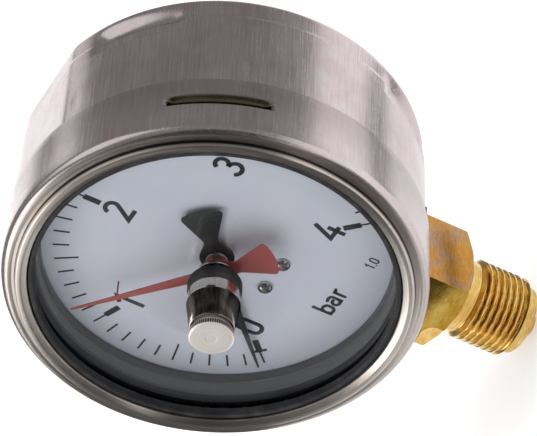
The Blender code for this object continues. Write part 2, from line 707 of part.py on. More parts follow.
def make_pointer_hub():
    profile = [(1.1, 9.6), (2.6, 9.6), (2.6, 10.9), (2.6, 11.9), (2.0, 11.9), (2.0, 12.8),
               (1.1, 12.8)]
    return link_part(turned_about_gauge_axis("pointer_hub", profile, SMALL), POLISHED)


# ---------------------------------------------------------------- drag pointer and knob
def make_drag_spindle():
    profile = [(0, -14.0), (1.3, -14.0), (1.3, -9.0), (1.3, 5.4), (2.2, 5.4), (2.2, 5.6),
               (1.3, 5.6), (1.3, 8.8), (0, 8.8)]
    return link_part(turned_about_gauge_axis("drag_spindle", profile, SMALL), STEEL)


def make_knob_cap():
    """A knurled cap with a hollow stub that slides over the spindle."""
    teeth = 30
    outline = [polar(5.36 if i % 2 else 5.1, 180.0 * i / teeth) for i in range(2 * teeth)]
    obj = as_mesh(sheet_piece("knob_cap", [outline], (-15.8, -14.0)))
    stub = turned_about_gauge_axis("cap_stub", [(1.6, -14.6), (3.4, -14.6), (3.4, -11.0),
                                                (1.6, -11.0)], SMALL)
    socket = cylinder("cap_socket", 1.6, (-14.6 - 0.6, -10.0), 0, 0)
    return link_part(cut(join(obj, stub), socket), POLISHED)


def make_knob_sleeve():
    profile = [(5.3, -12.8), (6.35, -5.6), (6.45, -5.1), (6.2, -4.3), (6.2, -1.5), (3.4, -1.5),
               (3.4, -3.6), (3.8, -3.6), (3.8, -12.8)]
    obj = turned_about_gauge_axis("knob_sleeve", profile, 28)
    return link_part(cut(obj, box("sleeve_notch", (-8, -8.6, -0.5), (-4.6, -4.9, 0.5))), DARK_CHROME)


def make_sleeve_seat():
    profile = [(3.4, -1.2), (6.5, -1.2), (6.5, GLASS_FRONT - GAP), (3.4, GLASS_FRONT - GAP)]
    return link_part(turned_about_gauge_axis("sleeve_seat", profile, MEDIUM), RUBBER)


def make_window_bush():
    profile = [(1.6, -5.5), (3.0, -5.5), (3.0, 5.1), (1.6, 5.1)]
    return link_part(turned_about_gauge_axis("window_bush", profile, MEDIUM), BRASS)


def make_bush_nut():
    profile = [(3.3, 4.7), (4.6, 4.7), (4.6, 5.2), (3.3, 5.2)]
    return link_part(turned_about_gauge_axis("bush_nut", profile, 24), STEEL)


def make_knob_spring():
    """A light coil spring between the cap's stub and the bush."""
    turns, per_turn, front, back = 3.5, 10, -10.4, -6.2
    curve = bpy.data.curves.new("knob_spring", "CURVE")
    curve.dimensions = "3D"
    curve.bevel_depth = 0.25 * MM
    curve.bevel_resolution = 2
    curve.use_fill_caps = True
    spline = curve.splines.new("POLY")
    count = int(turns * per_turn) + 1
    spline.points.add(count - 1)
    for i, point in enumerate(spline.points):
        x, z = polar(2.4, 360.0 * i / per_turn)
        depth = front + (back - front) * i / (count - 1)
        point.co = (*place(x, depth, z), 1.0)
    return link_part(bpy.data.objects.new("knob_spring", curve), STEEL)


# ---------------------------------------------------------------- assembly
def build():
    make_case()
    make_bayonet_ring()
    make_window()
    make_window_seal()
    make_spacer_ring()
    make_dial()
    for side, (x, z) in DIAL_SCREWS.items():
        pan_screw(f"dial_screw_{side}", 1.85, 1.0, 1.1, 2.2, x, z, DIAL_DEPTH, POLISHED)
    make_pressure_stem()
    make_stem_gasket()
    make_blowout_plug()
    for index, (x, z) in enumerate(CASE_SCREWS, 1):
        pan_screw(f"case_screw_{index}", 3.2, 1.6, 1.4, 7.0, x, z, CASE_DEPTH, STEEL, direction=-1)
    make_bourdon_tube()
    make_tube_end_piece()
    pivot_pin("tip_pin", TIP_PIVOT, LINK_LAYER[0] - 0.9, y_depth(-10.3) + 0.9)
    make_link()
    pivot_pin("tail_pin", TAIL_PIVOT, SECTOR_LAYER[0] - 0.9, LINK_LAYER[1] + 0.9)
    make_sector_gear()
    make_sector_arbor()
    make_movement_plate("movement_front_plate", FRONT_PLATE, DIAL_SCREWS.values())
    make_movement_plate("movement_back_plate", BACK_PLATE, MOVEMENT_SCREWS)
    for index, (x, z) in enumerate(PILLARS, 1):
        make_pillar(index, x, z)
    for index, (x, z) in enumerate(MOVEMENT_SCREWS, 1):
        pan_screw(f"movement_screw_{index}", 2.3, 1.2, 1.0, 4.6, x, z, BACK_PLATE[0], STEEL)
    make_pinion_arbor()
    make_spring_collet()
    make_hairspring()
    make_hairspring_stud()
    make_pointer("pointer", 38.5, (11.0, 11.5), POINTER_ANGLE, 2.9, BLACK)
    make_pointer_hub()
    make_drag_spindle()
    make_pointer("drag_pointer", 37.6, (5.9, 6.3), DRAG_ANGLE, 1.6, RED)
    make_window_bush()
    make_bush_nut()
    make_sleeve_seat()
    make_knob_sleeve()
    make_knob_spring()
    make_knob_cap()


build()
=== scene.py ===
"""Looks of the 100 mm pressure gauge: fine meshes, procedural materials, studio and camera.

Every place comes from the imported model.  Shapes are written in millimetres about the gauge
axis: x to the reader's right, z up, and a depth counted rearwards from the ring's shoulder.
"""
import json
import math

import bmesh
import bpy
from mathutils import Matrix, Vector


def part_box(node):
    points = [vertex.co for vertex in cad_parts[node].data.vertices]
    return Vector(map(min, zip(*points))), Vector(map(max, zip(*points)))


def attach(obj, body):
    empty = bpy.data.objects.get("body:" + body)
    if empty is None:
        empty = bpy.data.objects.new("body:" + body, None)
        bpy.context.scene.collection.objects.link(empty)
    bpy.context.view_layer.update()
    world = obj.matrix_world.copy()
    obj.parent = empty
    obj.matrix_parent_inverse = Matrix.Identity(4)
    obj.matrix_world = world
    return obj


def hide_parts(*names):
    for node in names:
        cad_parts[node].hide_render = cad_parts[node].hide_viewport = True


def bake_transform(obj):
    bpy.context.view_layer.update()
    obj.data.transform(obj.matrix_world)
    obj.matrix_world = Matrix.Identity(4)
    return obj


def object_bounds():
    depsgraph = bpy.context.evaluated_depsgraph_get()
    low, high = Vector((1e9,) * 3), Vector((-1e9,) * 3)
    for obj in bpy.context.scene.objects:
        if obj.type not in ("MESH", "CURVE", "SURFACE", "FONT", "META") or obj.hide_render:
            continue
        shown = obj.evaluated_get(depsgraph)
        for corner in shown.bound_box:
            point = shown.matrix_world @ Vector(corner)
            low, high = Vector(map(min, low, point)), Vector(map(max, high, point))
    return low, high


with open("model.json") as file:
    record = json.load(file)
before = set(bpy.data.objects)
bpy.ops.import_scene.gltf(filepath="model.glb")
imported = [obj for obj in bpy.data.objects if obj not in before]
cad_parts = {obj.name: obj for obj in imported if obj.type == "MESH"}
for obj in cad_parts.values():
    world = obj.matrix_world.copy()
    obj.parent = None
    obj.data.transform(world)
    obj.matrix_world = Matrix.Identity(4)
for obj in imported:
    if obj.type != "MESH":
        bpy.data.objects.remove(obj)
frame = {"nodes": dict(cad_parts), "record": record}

CAD_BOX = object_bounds()
MM = 0.001
BEAD_HEIGHT = 1.5  # the ring's bead stands this far in front of its shoulder
PITCH = 1.814  # G 1/2 thread

BODY = {node: body for body, nodes in frame["record"]["behaviour"]["bodies"].items() for node in nodes}
SLOT = {row["node"]: row["material_slot"] for row in frame["record"]["subparts"]}
RING_LOW, RING_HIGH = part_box("bayonet_ring")
AXIS_Z = (RING_LOW.z + RING_HIGH.z) / 2
SHOULDER_Y = RING_LOW.y + BEAD_HEIGHT * MM
PIECES = bpy.data.collections.new("gauge_looks")
STAGE = bpy.data.collections.new("studio")
for made_collection in (PIECES, STAGE):
    bpy.context.scene.collection.children.link(made_collection)


def depths_of(node):
    """Front and back depth of a node, in millimetres."""
    return [(corner.y - SHOULDER_Y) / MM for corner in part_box(node)]


def extent(node):
    """Radius, front depth and back depth of a turned node, in millimetres."""
    low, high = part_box(node)
    return ((high.x - low.x) / 2 / MM, *depths_of(node))


def middle(node):
    """x and z of a node's middle about the gauge axis, in millimetres."""
    low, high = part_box(node)
    return (low.x + high.x) / 2 / MM, ((low.z + high.z) / 2 - AXIS_Z) / MM


def place(x, depth, z):
    return Vector((x * MM, SHOULDER_Y + depth * MM, AXIS_Z + z * MM))


def polar(radius, degrees):
    angle = math.radians(degrees)
    return radius * math.cos(angle), radius * math.sin(angle)


def ease(value):
    value = min(1.0, max(0.0, value))
    return value * value * (3 - 2 * value)


# ---- sizes of the bayonet ring
RING_RADIUS, RING_FRONT, RING_BACK = extent("bayonet_ring")
RING_WALL = 0.7
LANCES = (27.5, 147.5, 267.5)
LANCE_HALF_SPAN = 14.2
LANCE_INSET = 1.3
SLIT = (8.8, 11.0)
SHOULDER_RADIUS, SHOULDER_ROUND = 48.6, 2.3  # where its rounded edge starts, and how deep it goes
BEAD_RADIUS, LIP_RADIUS = 46.9, 44.2  # the bead's outside and the opening


# ---- materials
class Look:
    """A Principled material whose colour, roughness and bump come from nodes.

    Textures read the object's own coordinates, in millimetres about the gauge axis.
    """

    def __init__(self, name, colour, roughness, metallic=0.0, specular=0.5):
        self.name = name
        self.material = bpy.data.materials.new(name)
        self.material.use_nodes = True
        self.tree = self.material.node_tree
        self.shader = self.tree.nodes["Principled BSDF"]
        for socket, value in (("Base Color", (*colour, 1.0)), ("Roughness", roughness),
                              ("Metallic", metallic), ("Specular IOR Level", specular)):
            self.shader.inputs[socket].default_value = value
        coordinates = self.node("TexCoord").outputs["Object"]
        shifted = self.vector("SUBTRACT", coordinates, (0.0, SHOULDER_Y, AXIS_Z))
        self.position = self.vector("MULTIPLY", shifted, (1.0 / MM,) * 3)

    def node(self, kind, settings=(), inputs=()):
        made = self.tree.nodes.new("ShaderNode" + kind)
        for key, value in dict(settings).items():
            setattr(made, key, value)
        for key, value in dict(inputs).items():
            if isinstance(value, bpy.types.NodeSocket):
                self.tree.links.new(value, made.inputs[key])
            else:
                made.inputs[key].default_value = value
        return made

    def vector(self, operation, first, second=(0.0, 0.0, 0.0)):
        made = self.node("VectorMath", {"operation": operation}, {0: first, 1: second})
        return made.outputs["Value" if operation == "LENGTH" else "Vector"]

    def maths(self, operation, first, second):
        return self.node("Math", {"operation": operation}, {0: first, 1: second}).outputs[0]

    def times(self, first, second):
        return self.maths("MULTIPLY", first, second)

    def stretched(self, scale):
        """The position, stretched: a small factor gives long streaks along that axis."""
        return self.vector("MULTIPLY", self.position, scale)

    def part(self, axis):
        """One coordinate of the position; Y is the depth."""
        return self.node("SeparateXYZ", inputs={0: self.position}).outputs[axis]

    def radius(self):
        """The distance from the gauge axis."""
        return self.vector("LENGTH", self.stretched((1.0, 0.0, 1.0)))

    def turned(self, around, across):
        """Coordinates whose noise runs in rings about the gauge axis."""
        outward = self.vector("NORMALIZE", self.stretched((1.0, 0.0, 1.0)))
        parts = self.node("SeparateXYZ", inputs={0: outward})
        travelled = self.maths("SUBTRACT", self.radius(), self.part("Y"))
        joined = self.node("CombineXYZ", inputs={
            0: self.times(parts.outputs["X"], around),
            1: self.times(travelled, across),
            2: self.times(parts.outputs["Z"], around)})
        return joined.outputs[0]

    def noise(self, where, scale=1.0, detail=3.0, roughness=0.55, distortion=0.0):
        return self.node("TexNoise", inputs={
            "Vector": where, "Scale": scale, "Detail": detail, "Roughness": roughness,
            "Distortion": distortion}).outputs[0]

    def spots(self, *settings):
        """Noise that runs the same way in every direction."""
        return self.noise(self.position, *settings)

    def ranged(self, value, low, high, to_low=0.0, to_high=1.0):
        return self.node("MapRange", inputs={
            0: value, 1: low, 2: high, 3: to_low, 4: to_high}).outputs[0]

    def mixed(self, factor, first, second, blend="MIX"):
        """A mix of two colours, each a socket or three numbers."""
        ends = [value if isinstance(value, bpy.types.NodeSocket) else (*value, 1.0)
                for value in (first, second)]
        kind = {"data_type": "RGBA", "blend_type": blend}
        return self.node("Mix", kind, {0: factor, 6: ends[0], 7: ends[1]}).outputs[2]

    def graded(self, value, low, high, first, second, blend="MIX"):
        """The first colour where value is at low, turning into the second at high."""
        return self.mixed(self.ranged(value, low, high), first, second, blend)

    def blended(self, factor, first, second):
        return self.node("Mix", inputs={0: factor, 2: first, 3: second}).outputs[0]

    def set(self, socket, value):
        self.tree.links.new(value, self.shader.inputs[socket])
        return self

    def brush_around(self, amount):
        """Stretches the reflections across circles that run about the gauge axis."""
        self.shader.inputs["Anisotropic"].default_value = amount
        around = self.node("Tangent", {"direction_type": "RADIAL", "axis": "Y"})
        self.set("Tangent", around.outputs[0])

    def bump(self, height, depth_mm):
        previous = self.shader.inputs["Normal"].links
        inputs = {"Height": height, "Distance": depth_mm * MM, "Strength": 1.0}
        if previous:
            inputs["Normal"] = previous[0].from_socket
        return self.set("Normal", self.node("Bump", inputs=inputs).outputs[0])


def metal(name, dark, light, roughness, grain, depth_mm=0.004, brushed=0.0, stain=None):
    """Worked metal: streaks along the tool's path, slow colour drift, faint handling marks.

    grain is "axial", "turned" or "milled"; roughness is its (low, high) range.
    """
    look = Look(name, light, roughness[0], 1.0)
    paths = {"axial": lambda: look.stretched((3.2, 0.07, 3.2)),
             "turned": lambda: look.turned(2.0, 4.0),
             "milled": lambda: look.stretched((0.35, 0.35, 4.0))}
    streaks = look.noise(paths[grain](), 1.0, 4.0, 0.6)
    drift = look.spots(0.09, 2.0, 0.5, 0.4)
    marks = look.spots(0.55, 5.0, 0.65, 0.8)
    colour = look.graded(streaks, 0.35, 0.65, dark, light)
    if stain is not None:
        colour = look.graded(drift, 0.42, 0.62, colour, stain, "MULTIPLY")
    look.set("Base Color", colour)
    worn = look.maths("ADD", look.times(streaks, 0.7), look.times(marks, 0.3))
    look.set("Roughness", look.ranged(worn, 0.35, 0.65, *roughness))
    look.bump(streaks, depth_mm)
    look.bump(marks, depth_mm * 0.6)
    if brushed:
        look.brush_around(brushed)
    return look


def glass_look():
    """Flat instrument glass: it mirrors by Fresnel and lets the rest pass unbent."""
    look = Look("window_glass", (1, 1, 1), 0.02)
    smear = look.spots(0.12, 3.0, 0.6, 1.2)
    rough = look.ranged(smear, 0.45, 0.75, 0.015, 0.06)
    mirror = look.node("BsdfAnisotropic", inputs={"Color": (1, 1, 1, 1), "Roughness": rough})
    clear = look.node("BsdfTransparent", inputs={"Color": (0.965, 0.975, 0.985, 1.0)})
    share = look.node("Fresnel", inputs={"IOR": 1.33}).outputs[0]
    mix = look.node("MixShader", inputs={0: share, 1: clear.outputs[0], 2: mirror.outputs[0]})
    output = look.tree.nodes["Material Output"]
    look.tree.links.new(mix.outputs[0], output.inputs["Surface"])
    look.tree.nodes.remove(look.shader)
    return look


def painted(name, colour, shade, roughness, grain_mm=0.35, bump_mm=0.004, specular=0.5):
    """Paint or lacquer: a slight orange peel, dust and a slow change of tone."""
    look = Look(name, colour, roughness, 0.0, specular)
    peel = look.spots(1.0 / grain_mm, 3.0)
    tone = look.spots(0.06, 3.0, 0.55, 0.6)
    specks = look.spots(6.0, 1.0)
    look.set("Base Color", look.graded(tone, 0.35, 0.7, colour, shade))
    rough = look.maths("ADD", look.ranged(tone, 0.3, 0.7, roughness - 0.06, roughness + 0.06),
                       look.ranged(specks, 0.6, 0.75, 0.0, 0.08))
    look.set("Roughness", rough)
    return look.bump(peel, bump_mm)


def rubber_look():
    look = Look("seal_rubber", (0.016, 0.016, 0.017), 0.6)
    grit = look.spots(4.0, 4.0, 0.7)
    bloom = look.spots(0.25, 3.0, 0.6, 0.5)
    look.set("Base Color", look.graded(bloom, 0.45, 0.75, (0.012, 0.012, 0.013),
                                      (0.04, 0.04, 0.042)))
    look.set("Roughness", look.ranged(bloom, 0.3, 0.7, 0.42, 0.72))
    return look.bump(grit, 0.012)


def ring_look():
    """The bayonet ring: brushed along its side, turned on its shoulder.

    Painted shade darkens it where pressed in, on its inside, in the bead's groove and towards the rear;
    a painted sheen makes its front lighter and warmer.
    """
    look = Look("ring_steel", (0.6, 0.53, 0.52), 0.22, 1.0)
    depth = look.part("Y")
    radius = look.radius()
    is_side = look.ranged(depth, 0.12, 0.45)
    brushed = look.noise(look.stretched((3.0, 0.1, 3.0)), 1.0, 4.0, 0.6)
    turned = look.noise(look.turned(1.5, 5.0), 1.0, 4.0, 0.6)
    streaks = look.blended(is_side, turned, brushed)
    drift = look.spots(0.07, 3.0, 0.5, 0.6)
    marks = look.spots(0.6, 6.0, 0.7, 1.0)
    side = look.graded(streaks, 0.3, 0.7, (0.53, 0.465, 0.465), (0.64, 0.575, 0.575))
    # Painted sheen: the front of the same steel is made lighter and warmer than the side.
    front = look.graded(streaks, 0.3, 0.7, (0.56, 0.51, 0.465), (0.7, 0.65, 0.6))
    # Painted shade: the front is darker towards its rounded outer edge, like the side's dark reflection.
    front = look.graded(radius, SHOULDER_RADIUS + 1.0, SHOULDER_RADIUS + 0.3, (0.36, 0.33, 0.31), front)
    # Painted shade: near black in the groove at the bead's foot.
    foot_shade = look.times(look.ranged(radius, BEAD_RADIUS + 0.45, BEAD_RADIUS + 0.15),
                         look.ranged(depth, -0.75, -0.35))
    foot_shade = look.times(foot_shade, look.ranged(radius, BEAD_RADIUS - 0.6, BEAD_RADIUS - 0.2))
    front = look.mixed(foot_shade, front, (0.04, 0.036, 0.03))
    # Painted shade: the side darkens towards the rear, which sets the ring off from the case.
    side = look.graded(depth, 5.0, 14.0, side, (0.8, 0.79, 0.79), "MULTIPLY")
    colour = look.mixed(is_side, front, side)
    colour = look.graded(drift, 0.4, 0.65, colour, (0.93, 0.9, 0.9), "MULTIPLY")
    # Painted shade: dark olive-brown in the lances' pressed hollows and on the ring's inside.
    pressed = look.times(look.ranged(radius, RING_RADIUS - 0.04, RING_RADIUS - 0.6),
                         look.ranged(depth, 6.0, 8.0))
    look.set("Base Color", look.mixed(pressed, colour, (0.17, 0.145, 0.09)))
    worn = look.maths("ADD", look.times(streaks, 0.5), look.times(marks, 0.5))
    side_roughness = look.ranged(worn, 0.35, 0.65, 0.15, 0.28)
    front_roughness = look.ranged(worn, 0.35, 0.65, 0.3, 0.4)
    look.set("Roughness", look.blended(is_side, front_roughness, side_roughness))
    look.brush_around(0.8)
    look.set("Anisotropic Rotation", look.ranged(depth, 0.12, 0.45, 0.25, 0.0))
    look.bump(streaks, 0.0025)
    return look.bump(marks, 0.003)


def nickel_look():
    """Bright plate with the fine rings that a facing tool leaves."""
    look = Look("nickel", (0.8, 0.77, 0.73), 0.2, 1.0)
    rings = look.noise(look.stretched((1.2, 1.2, 1.2)), 1.0, 3.0, 0.6)
    look.set("Base Color", look.graded(rings, 0.3, 0.7, (0.74, 0.71, 0.67), (0.88, 0.85, 0.81)))
    look.set("Roughness", look.ranged(rings, 0.3, 0.7, 0.12, 0.24))
    return look.bump(rings, 0.002)


def cap_look():
    """The knob cap: a pale matt face with turning rings, and a knurl with painted shade in its valleys and
    light crests.
    """
    look = Look("cap_plate", (0.9, 0.85, 0.8), 0.45, 0.55)
    radius = look.radius()
    depth = look.part("Y")
    rings = look.noise(look.turned(0.6, 7.0), 1.0, 3.0, 0.6)
    face = look.graded(rings, 0.3, 0.7, (0.68, 0.625, 0.575), (0.82, 0.765, 0.715))
    # Painted shade: the knurl's valleys are near black, its crests light.
    teeth = look.graded(radius, 5.1, 5.28, (0.045, 0.04, 0.036), (0.62, 0.58, 0.53))
    front = extent("knob_cap")[1]
    on_rim = look.times(look.ranged(depth, front + 0.22, front + 0.32),
                        look.ranged(radius, 4.4, 4.6))
    look.set("Base Color", look.mixed(on_rim, face, teeth))
    look.set("Roughness", look.ranged(rings, 0.3, 0.7, 0.38, 0.5))
    return look.bump(rings, 0.003)


def spacer_look():
    """Moulded ring, its tones by depth painted light and shade: near black beside the glass,
    lightest on the middle step as a painted highlight, darker again at the rear.
    """
    look = Look("spacer_plastic", (0.1, 0.1, 0.1), 0.35)
    depth = look.part("Y")
    # Painted light and shade in bands by depth, lightest on the middle step.
    front = look.graded(depth, 4.9, 6.6, (0.02, 0.02, 0.02), (0.075, 0.073, 0.07))
    rear = look.graded(depth, 10.2, 10.4, (0.2, 0.195, 0.185), (0.115, 0.112, 0.106))
    tone = look.graded(depth, 6.8, 7.0, front, rear)
    grain = look.spots(1.6, 3.0)
    look.set("Base Color", look.graded(grain, 0.3, 0.7, tone, (0.88, 0.88, 0.88), "MULTIPLY"))
    look.set("Roughness", look.ranged(grain, 0.3, 0.7, 0.28, 0.42))
    return look.bump(grain, 0.004)


def stem_look():
    """Milled brass: each flat painted its own tone as a painted reflection, tan on the right-hand
    flat and olive on the front one, with random blotches of tarnish and scuffs.
    """
    look = metal("stem_brass", (0.6, 0.42, 0.13), (0.88, 0.68, 0.28), (0.14, 0.28), "milled", 0.006,
                 stain=(0.86, 0.7, 0.55))
    bright = look.shader.inputs["Base Color"].links[0].from_socket
    blotch = look.ranged(look.spots(0.13, 3.0, 0.55, 0.3), 0.4, 0.6)
    scuffs = look.ranged(look.noise(look.stretched((0.5, 0.5, 2.6)), 1.0, 5.0, 0.7, 0.6), 0.35, 0.65)
    # Painted reflections: the right-hand and front flats each get their own tone; the blotches and scuffs
    # on them are tarnish and wear.
    tan = look.mixed(blotch, (0.55, 0.27, 0.045), (0.47, 0.29, 0.17))
    tan = look.mixed(scuffs, tan, (0.7, 0.66, 0.64), "MULTIPLY")
    olive = look.mixed(blotch, (0.4, 0.235, 0.03), (0.56, 0.37, 0.085))
    olive = look.mixed(scuffs, olive, (0.72, 0.7, 0.66), "MULTIPLY")
    block_front = depths_of("pressure_stem")[0]
    block_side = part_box("pressure_stem")[1].x / MM
    colour = look.graded(look.part("X"), block_side - 0.2, block_side - 0.07, bright, tan)
    on_front = look.ranged(look.part("Y"), block_front + 0.2, block_front + 0.07)
    look.set("Base Color", look.mixed(on_front, colour, olive))
    return look


MADE_LOOKS = (
    metal("case_steel", (0.51, 0.445, 0.45), (0.64, 0.57, 0.575), (0.17, 0.3), "axial", 0.003,
          brushed=0.5, stain=(0.93, 0.88, 0.9)),
    ring_look(),
    glass_look(),
    rubber_look(),
    spacer_look(),
    painted("dial_white", (0.77, 0.775, 0.83), (0.74, 0.745, 0.81), 0.48, 0.25, 0.002),
    nickel_look(),
    metal("dark_chrome", (0.5, 0.455, 0.41), (0.66, 0.61, 0.56), (0.08, 0.2), "axial", 0.003),
    stem_look(),
    metal("movement_brass", (0.66, 0.5, 0.2), (0.8, 0.63, 0.29), (0.22, 0.36), "turned"),
    metal("movement_steel", (0.42, 0.42, 0.43), (0.6, 0.6, 0.61), (0.18, 0.32), "turned"),
    metal("tube_copper", (0.58, 0.36, 0.18), (0.74, 0.48, 0.26), (0.24, 0.4), "axial",
          stain=(0.85, 0.72, 0.65)),
    painted("pointer_black", (0.03, 0.031, 0.03), (0.042, 0.043, 0.041), 0.42),
    painted("pointer_red", (0.47, 0.1, 0.085), (0.4, 0.085, 0.07), 0.36),
)
LOOKS = {look.name: look for look in MADE_LOOKS}
PRINT_INK = painted("dial_print", (0.028, 0.029, 0.031), (0.04, 0.041, 0.044), 0.55, 0.2, 0.001, 0.3)


# ---- shape helpers
def rounded(points, closed=True, steps=5):
    """Points (u, v) or (u, v, radius): a corner with a radius becomes an arc."""
    outline = []
    for i, point in enumerate(points):
        corner = Vector(point[:2])
        is_end = not closed and i in (0, len(points) - 1)
        if len(point) == 2 or is_end:
            outline.append(tuple(corner))
            continue
        before = Vector(points[i - 1][:2]) - corner
        after = Vector(points[(i + 1) % len(points)][:2]) - corner
        half = before.angle(after) / 2
        reach = min(point[2] / math.tan(half), 0.49 * before.length, 0.49 * after.length)
        bisector = (before.normalized() + after.normalized()).normalized()
        centre = corner + bisector * (reach / math.cos(half))
        start = corner + before.normalized() * reach - centre
        finish = corner + after.normalized() * reach - centre
        sweep = start.angle_signed(finish)
        for step in range(steps + 1):
            turned = Matrix.Rotation(-sweep * step / steps, 2) @ start
            outline.append(tuple(centre + turned))
    return outline


def mesh_piece(name, bm, smooth_degrees=32.0):
    """A named piece from a bmesh whose vertices are already in the row frame."""
    bmesh.ops.recalc_face_normals(bm, faces=bm.faces)
    mesh = bpy.data.meshes.new(name)
    bm.to_mesh(mesh)
    bm.free()
    mesh.shade_smooth()
    mesh.set_sharp_from_angle(angle=math.radians(smooth_degrees))
    obj = bpy.data.objects.new(name, mesh)
    PIECES.objects.link(obj)
    return obj


def stands_for(obj, *nodes, look=None):
    """Rides on the first node's body, hides the nodes and takes their finish."""
    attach(obj, BODY[nodes[0]])
    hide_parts(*nodes)
    finished(obj, nodes[0], look)


def finished(obj, node, look=None):
    obj.data.materials.clear()
    obj.data.materials.append((look or LOOKS[SLOT[node]]).material)


def lathe(name, profile, segments=192, centre=(0.0, 0.0), about="gauge", warp=None, smooth_degrees=32.0):
    """A body turned from a profile of (radius, depth[, corner radius]) points.

    A profile that starts and ends on the axis is closed by it; any other joins its ends.
    warp(u, v, height) moves a point about the turning axis.
    """
    on_axis = profile[0][0] == 0 and profile[-1][0] == 0
    points = rounded(profile, closed=not on_axis)
    bm = bmesh.new()

    def vertex(degrees, radius, height):
        u, v = polar(radius, degrees)
        if warp is not None:
            u, v, height = warp(u, v, height)
        if about == "stem":
            return bm.verts.new((u * MM, v * MM, height * MM))
        return bm.verts.new(place(centre[0] + u, height, centre[1] + v))

    rings = []
    for radius, height in points:
        count = 1 if radius < 1e-6 else segments
        rings.append([vertex(360.0 * i / segments, radius, height) for i in range(count)])
    pairs = list(zip(rings, rings[1:]))
    if not on_axis:
        pairs.append((rings[-1], rings[0]))
    for first, second in pairs:
        for i in range(segments):
            j = (i + 1) % segments
            corners = [first[i % len(first)], first[j % len(first)],
                       second[j % len(second)], second[i % len(second)]]
            unique = list(dict.fromkeys(corners))
            if len(unique) > 2:
                bm.faces.new(unique)
    return mesh_piece(name, bm, smooth_degrees)


def box_piece(name, low, high, bevel=0.0):
    """A box between two corners (x, depth, z)."""
    bm = bmesh.new()
    bmesh.ops.create_cube(bm, size=1.0)
    for vertex in bm.verts:
        vertex.co = place(*[low[i] + (vertex.co[i] + 0.5) * (high[i] - low[i]) for i in range(3)])
    if bevel:
        bmesh.ops.bevel(bm, geom=bm.edges, offset=bevel * MM, segments=3, profile=0.5, affect="EDGES")
    return mesh_piece(name, bm)


def sheet_piece(name, outlines, depths, bevel=0.08, steps=2):
    """A flat stamping with softened edges: closed outlines in x and z, holes included."""
    curve = bpy.data.curves.new(name, "CURVE")
    curve.dimensions = "2D"
    curve.fill_mode = "BOTH"
    curve.bevel_depth = bevel * MM
    curve.bevel_resolution = steps
    curve.offset = -bevel * MM
    curve.extrude = ((depths[1] - depths[0]) / 2 - bevel) * MM
    for outline in outlines:
        spline = curve.splines.new("POLY")
        spline.points.add(len(outline) - 1)
        for point, (x, z) in zip(spline.points, outline):
            point.co = (x * MM, z * MM, 0.0, 1.0)
        spline.use_cyclic_u = True
    obj = bpy.data.objects.new(name, curve)
    obj.matrix_world = (Matrix.Translation(place(0, (depths[0] + depths[1]) / 2, 0))
                        @ Matrix.Rotation(math.pi / 2, 4, "X"))
    return baked(obj)


def baked(obj):
    """The same piece as a plain welded mesh in the row frame, its modifiers applied."""
    if not obj.users_collection:
        PIECES.objects.link(obj)
    bpy.context.view_layer.update()
    evaluated = obj.evaluated_get(bpy.context.evaluated_depsgraph_get())
    mesh = bpy.data.meshes.new_from_object(evaluated)
    mesh.transform(obj.matrix_world)
    name = obj.name
    bpy.data.objects.remove(obj, do_unlink=True)
    bm = bmesh.new()
    bm.from_mesh(mesh)
    bmesh.ops.remove_doubles(bm, verts=bm.verts, dist=0.000001)
    bpy.data.meshes.remove(mesh)
    return mesh_piece(name, bm)


def combined(obj, tools, operation="DIFFERENCE"):
    """Cuts tools out of a piece, or joins them to it, and applies the result."""
    for tool in tools:
        modifier = obj.modifiers.new(tool.name, "BOOLEAN")
        modifier.operation = operation
        modifier.solver = "EXACT"
        modifier.object = tool
    made = baked(obj)
    for tool in tools:
        bpy.data.objects.remove(tool, do_unlink=True)
    return made


def arc(x, z, radius_x, radius_z, first, last, steps=14):
    """Points along an elliptical arc about (x, z), from one angle in degrees to another."""
    angles = [math.radians(first + (last - first) * i / steps) for i in range(steps + 1)]
    return [(x + radius_x * math.cos(a), z + radius_z * math.sin(a)) for a in angles]


def sector_outline(radii, centre_angle, half_span, steps):
    angles = [centre_angle + half_span * (2 * i / steps - 1) for i in range(steps + 1)]
    return [polar(radii[1], a) for a in angles] + [polar(radii[0], a) for a in reversed(angles)]


def bends(path, closed=False):
    """Each point of a path, its mean direction there and the cosine of half its bend."""
    count = len(path)
    for i, point in enumerate(path):
        here = Vector(point)
        into = (here - Vector(path[i - 1])).normalized() if i > 0 or closed else None
        onward = (Vector(path[(i + 1) % count]) - here).normalized() if i < count - 1 or closed else None
        into, onward = into or onward, onward or into
        along = (into + onward).normalized()
        yield here, along, along.dot(onward)


def bridge(bm, first, second):
    """Faces between two closed rings of as many vertices."""
    for i in range(len(first)):
        j = (i + 1) % len(first)
        bm.faces.new((first[i], first[j], second[j], second[i]))


# ---- case
CASE_RADIUS, CASE_FRONT, CASE_BACK = extent("case")
CASE_WALL = 1.0
CASE_FLAT = CASE_RADIUS - 1.6  # height of the flat at 12 o'clock above the gauge axis
CASE_STEP = 14.4  # the full-width body starts at this depth, behind the ring's groove
GROOVE_RADIUS = 48.3  # the ring's lances turn in this groove
RECESSES = (52.0, 142.0, 232.0, 322.0)
RECESS_HALF_SPAN = 14.0
RECESS_FRONT, RECESS_INSET = 36.9, 1.2
DENT_ANGLE, DENT_DEPTH, DENT_INSET = 71.0, 24.5, 0.25
REAR_FILLET = 3.3


def walled(profile, thickness):
    """A sheet's section: the outline, then the same outline set inwards by its thickness."""
    outline = rounded(profile, closed=False)
    inner = []
    for here, along, cosine in bends(outline):
        reach = thickness / max(0.35, cosine)
        inner.append((here.x - along.y * reach, here.y + along.x * reach))
    inner[0] = (outline[0][0], inner[0][1])
    inner[-1] = (0.0, inner[-1][1])
    return outline + inner[::-1]


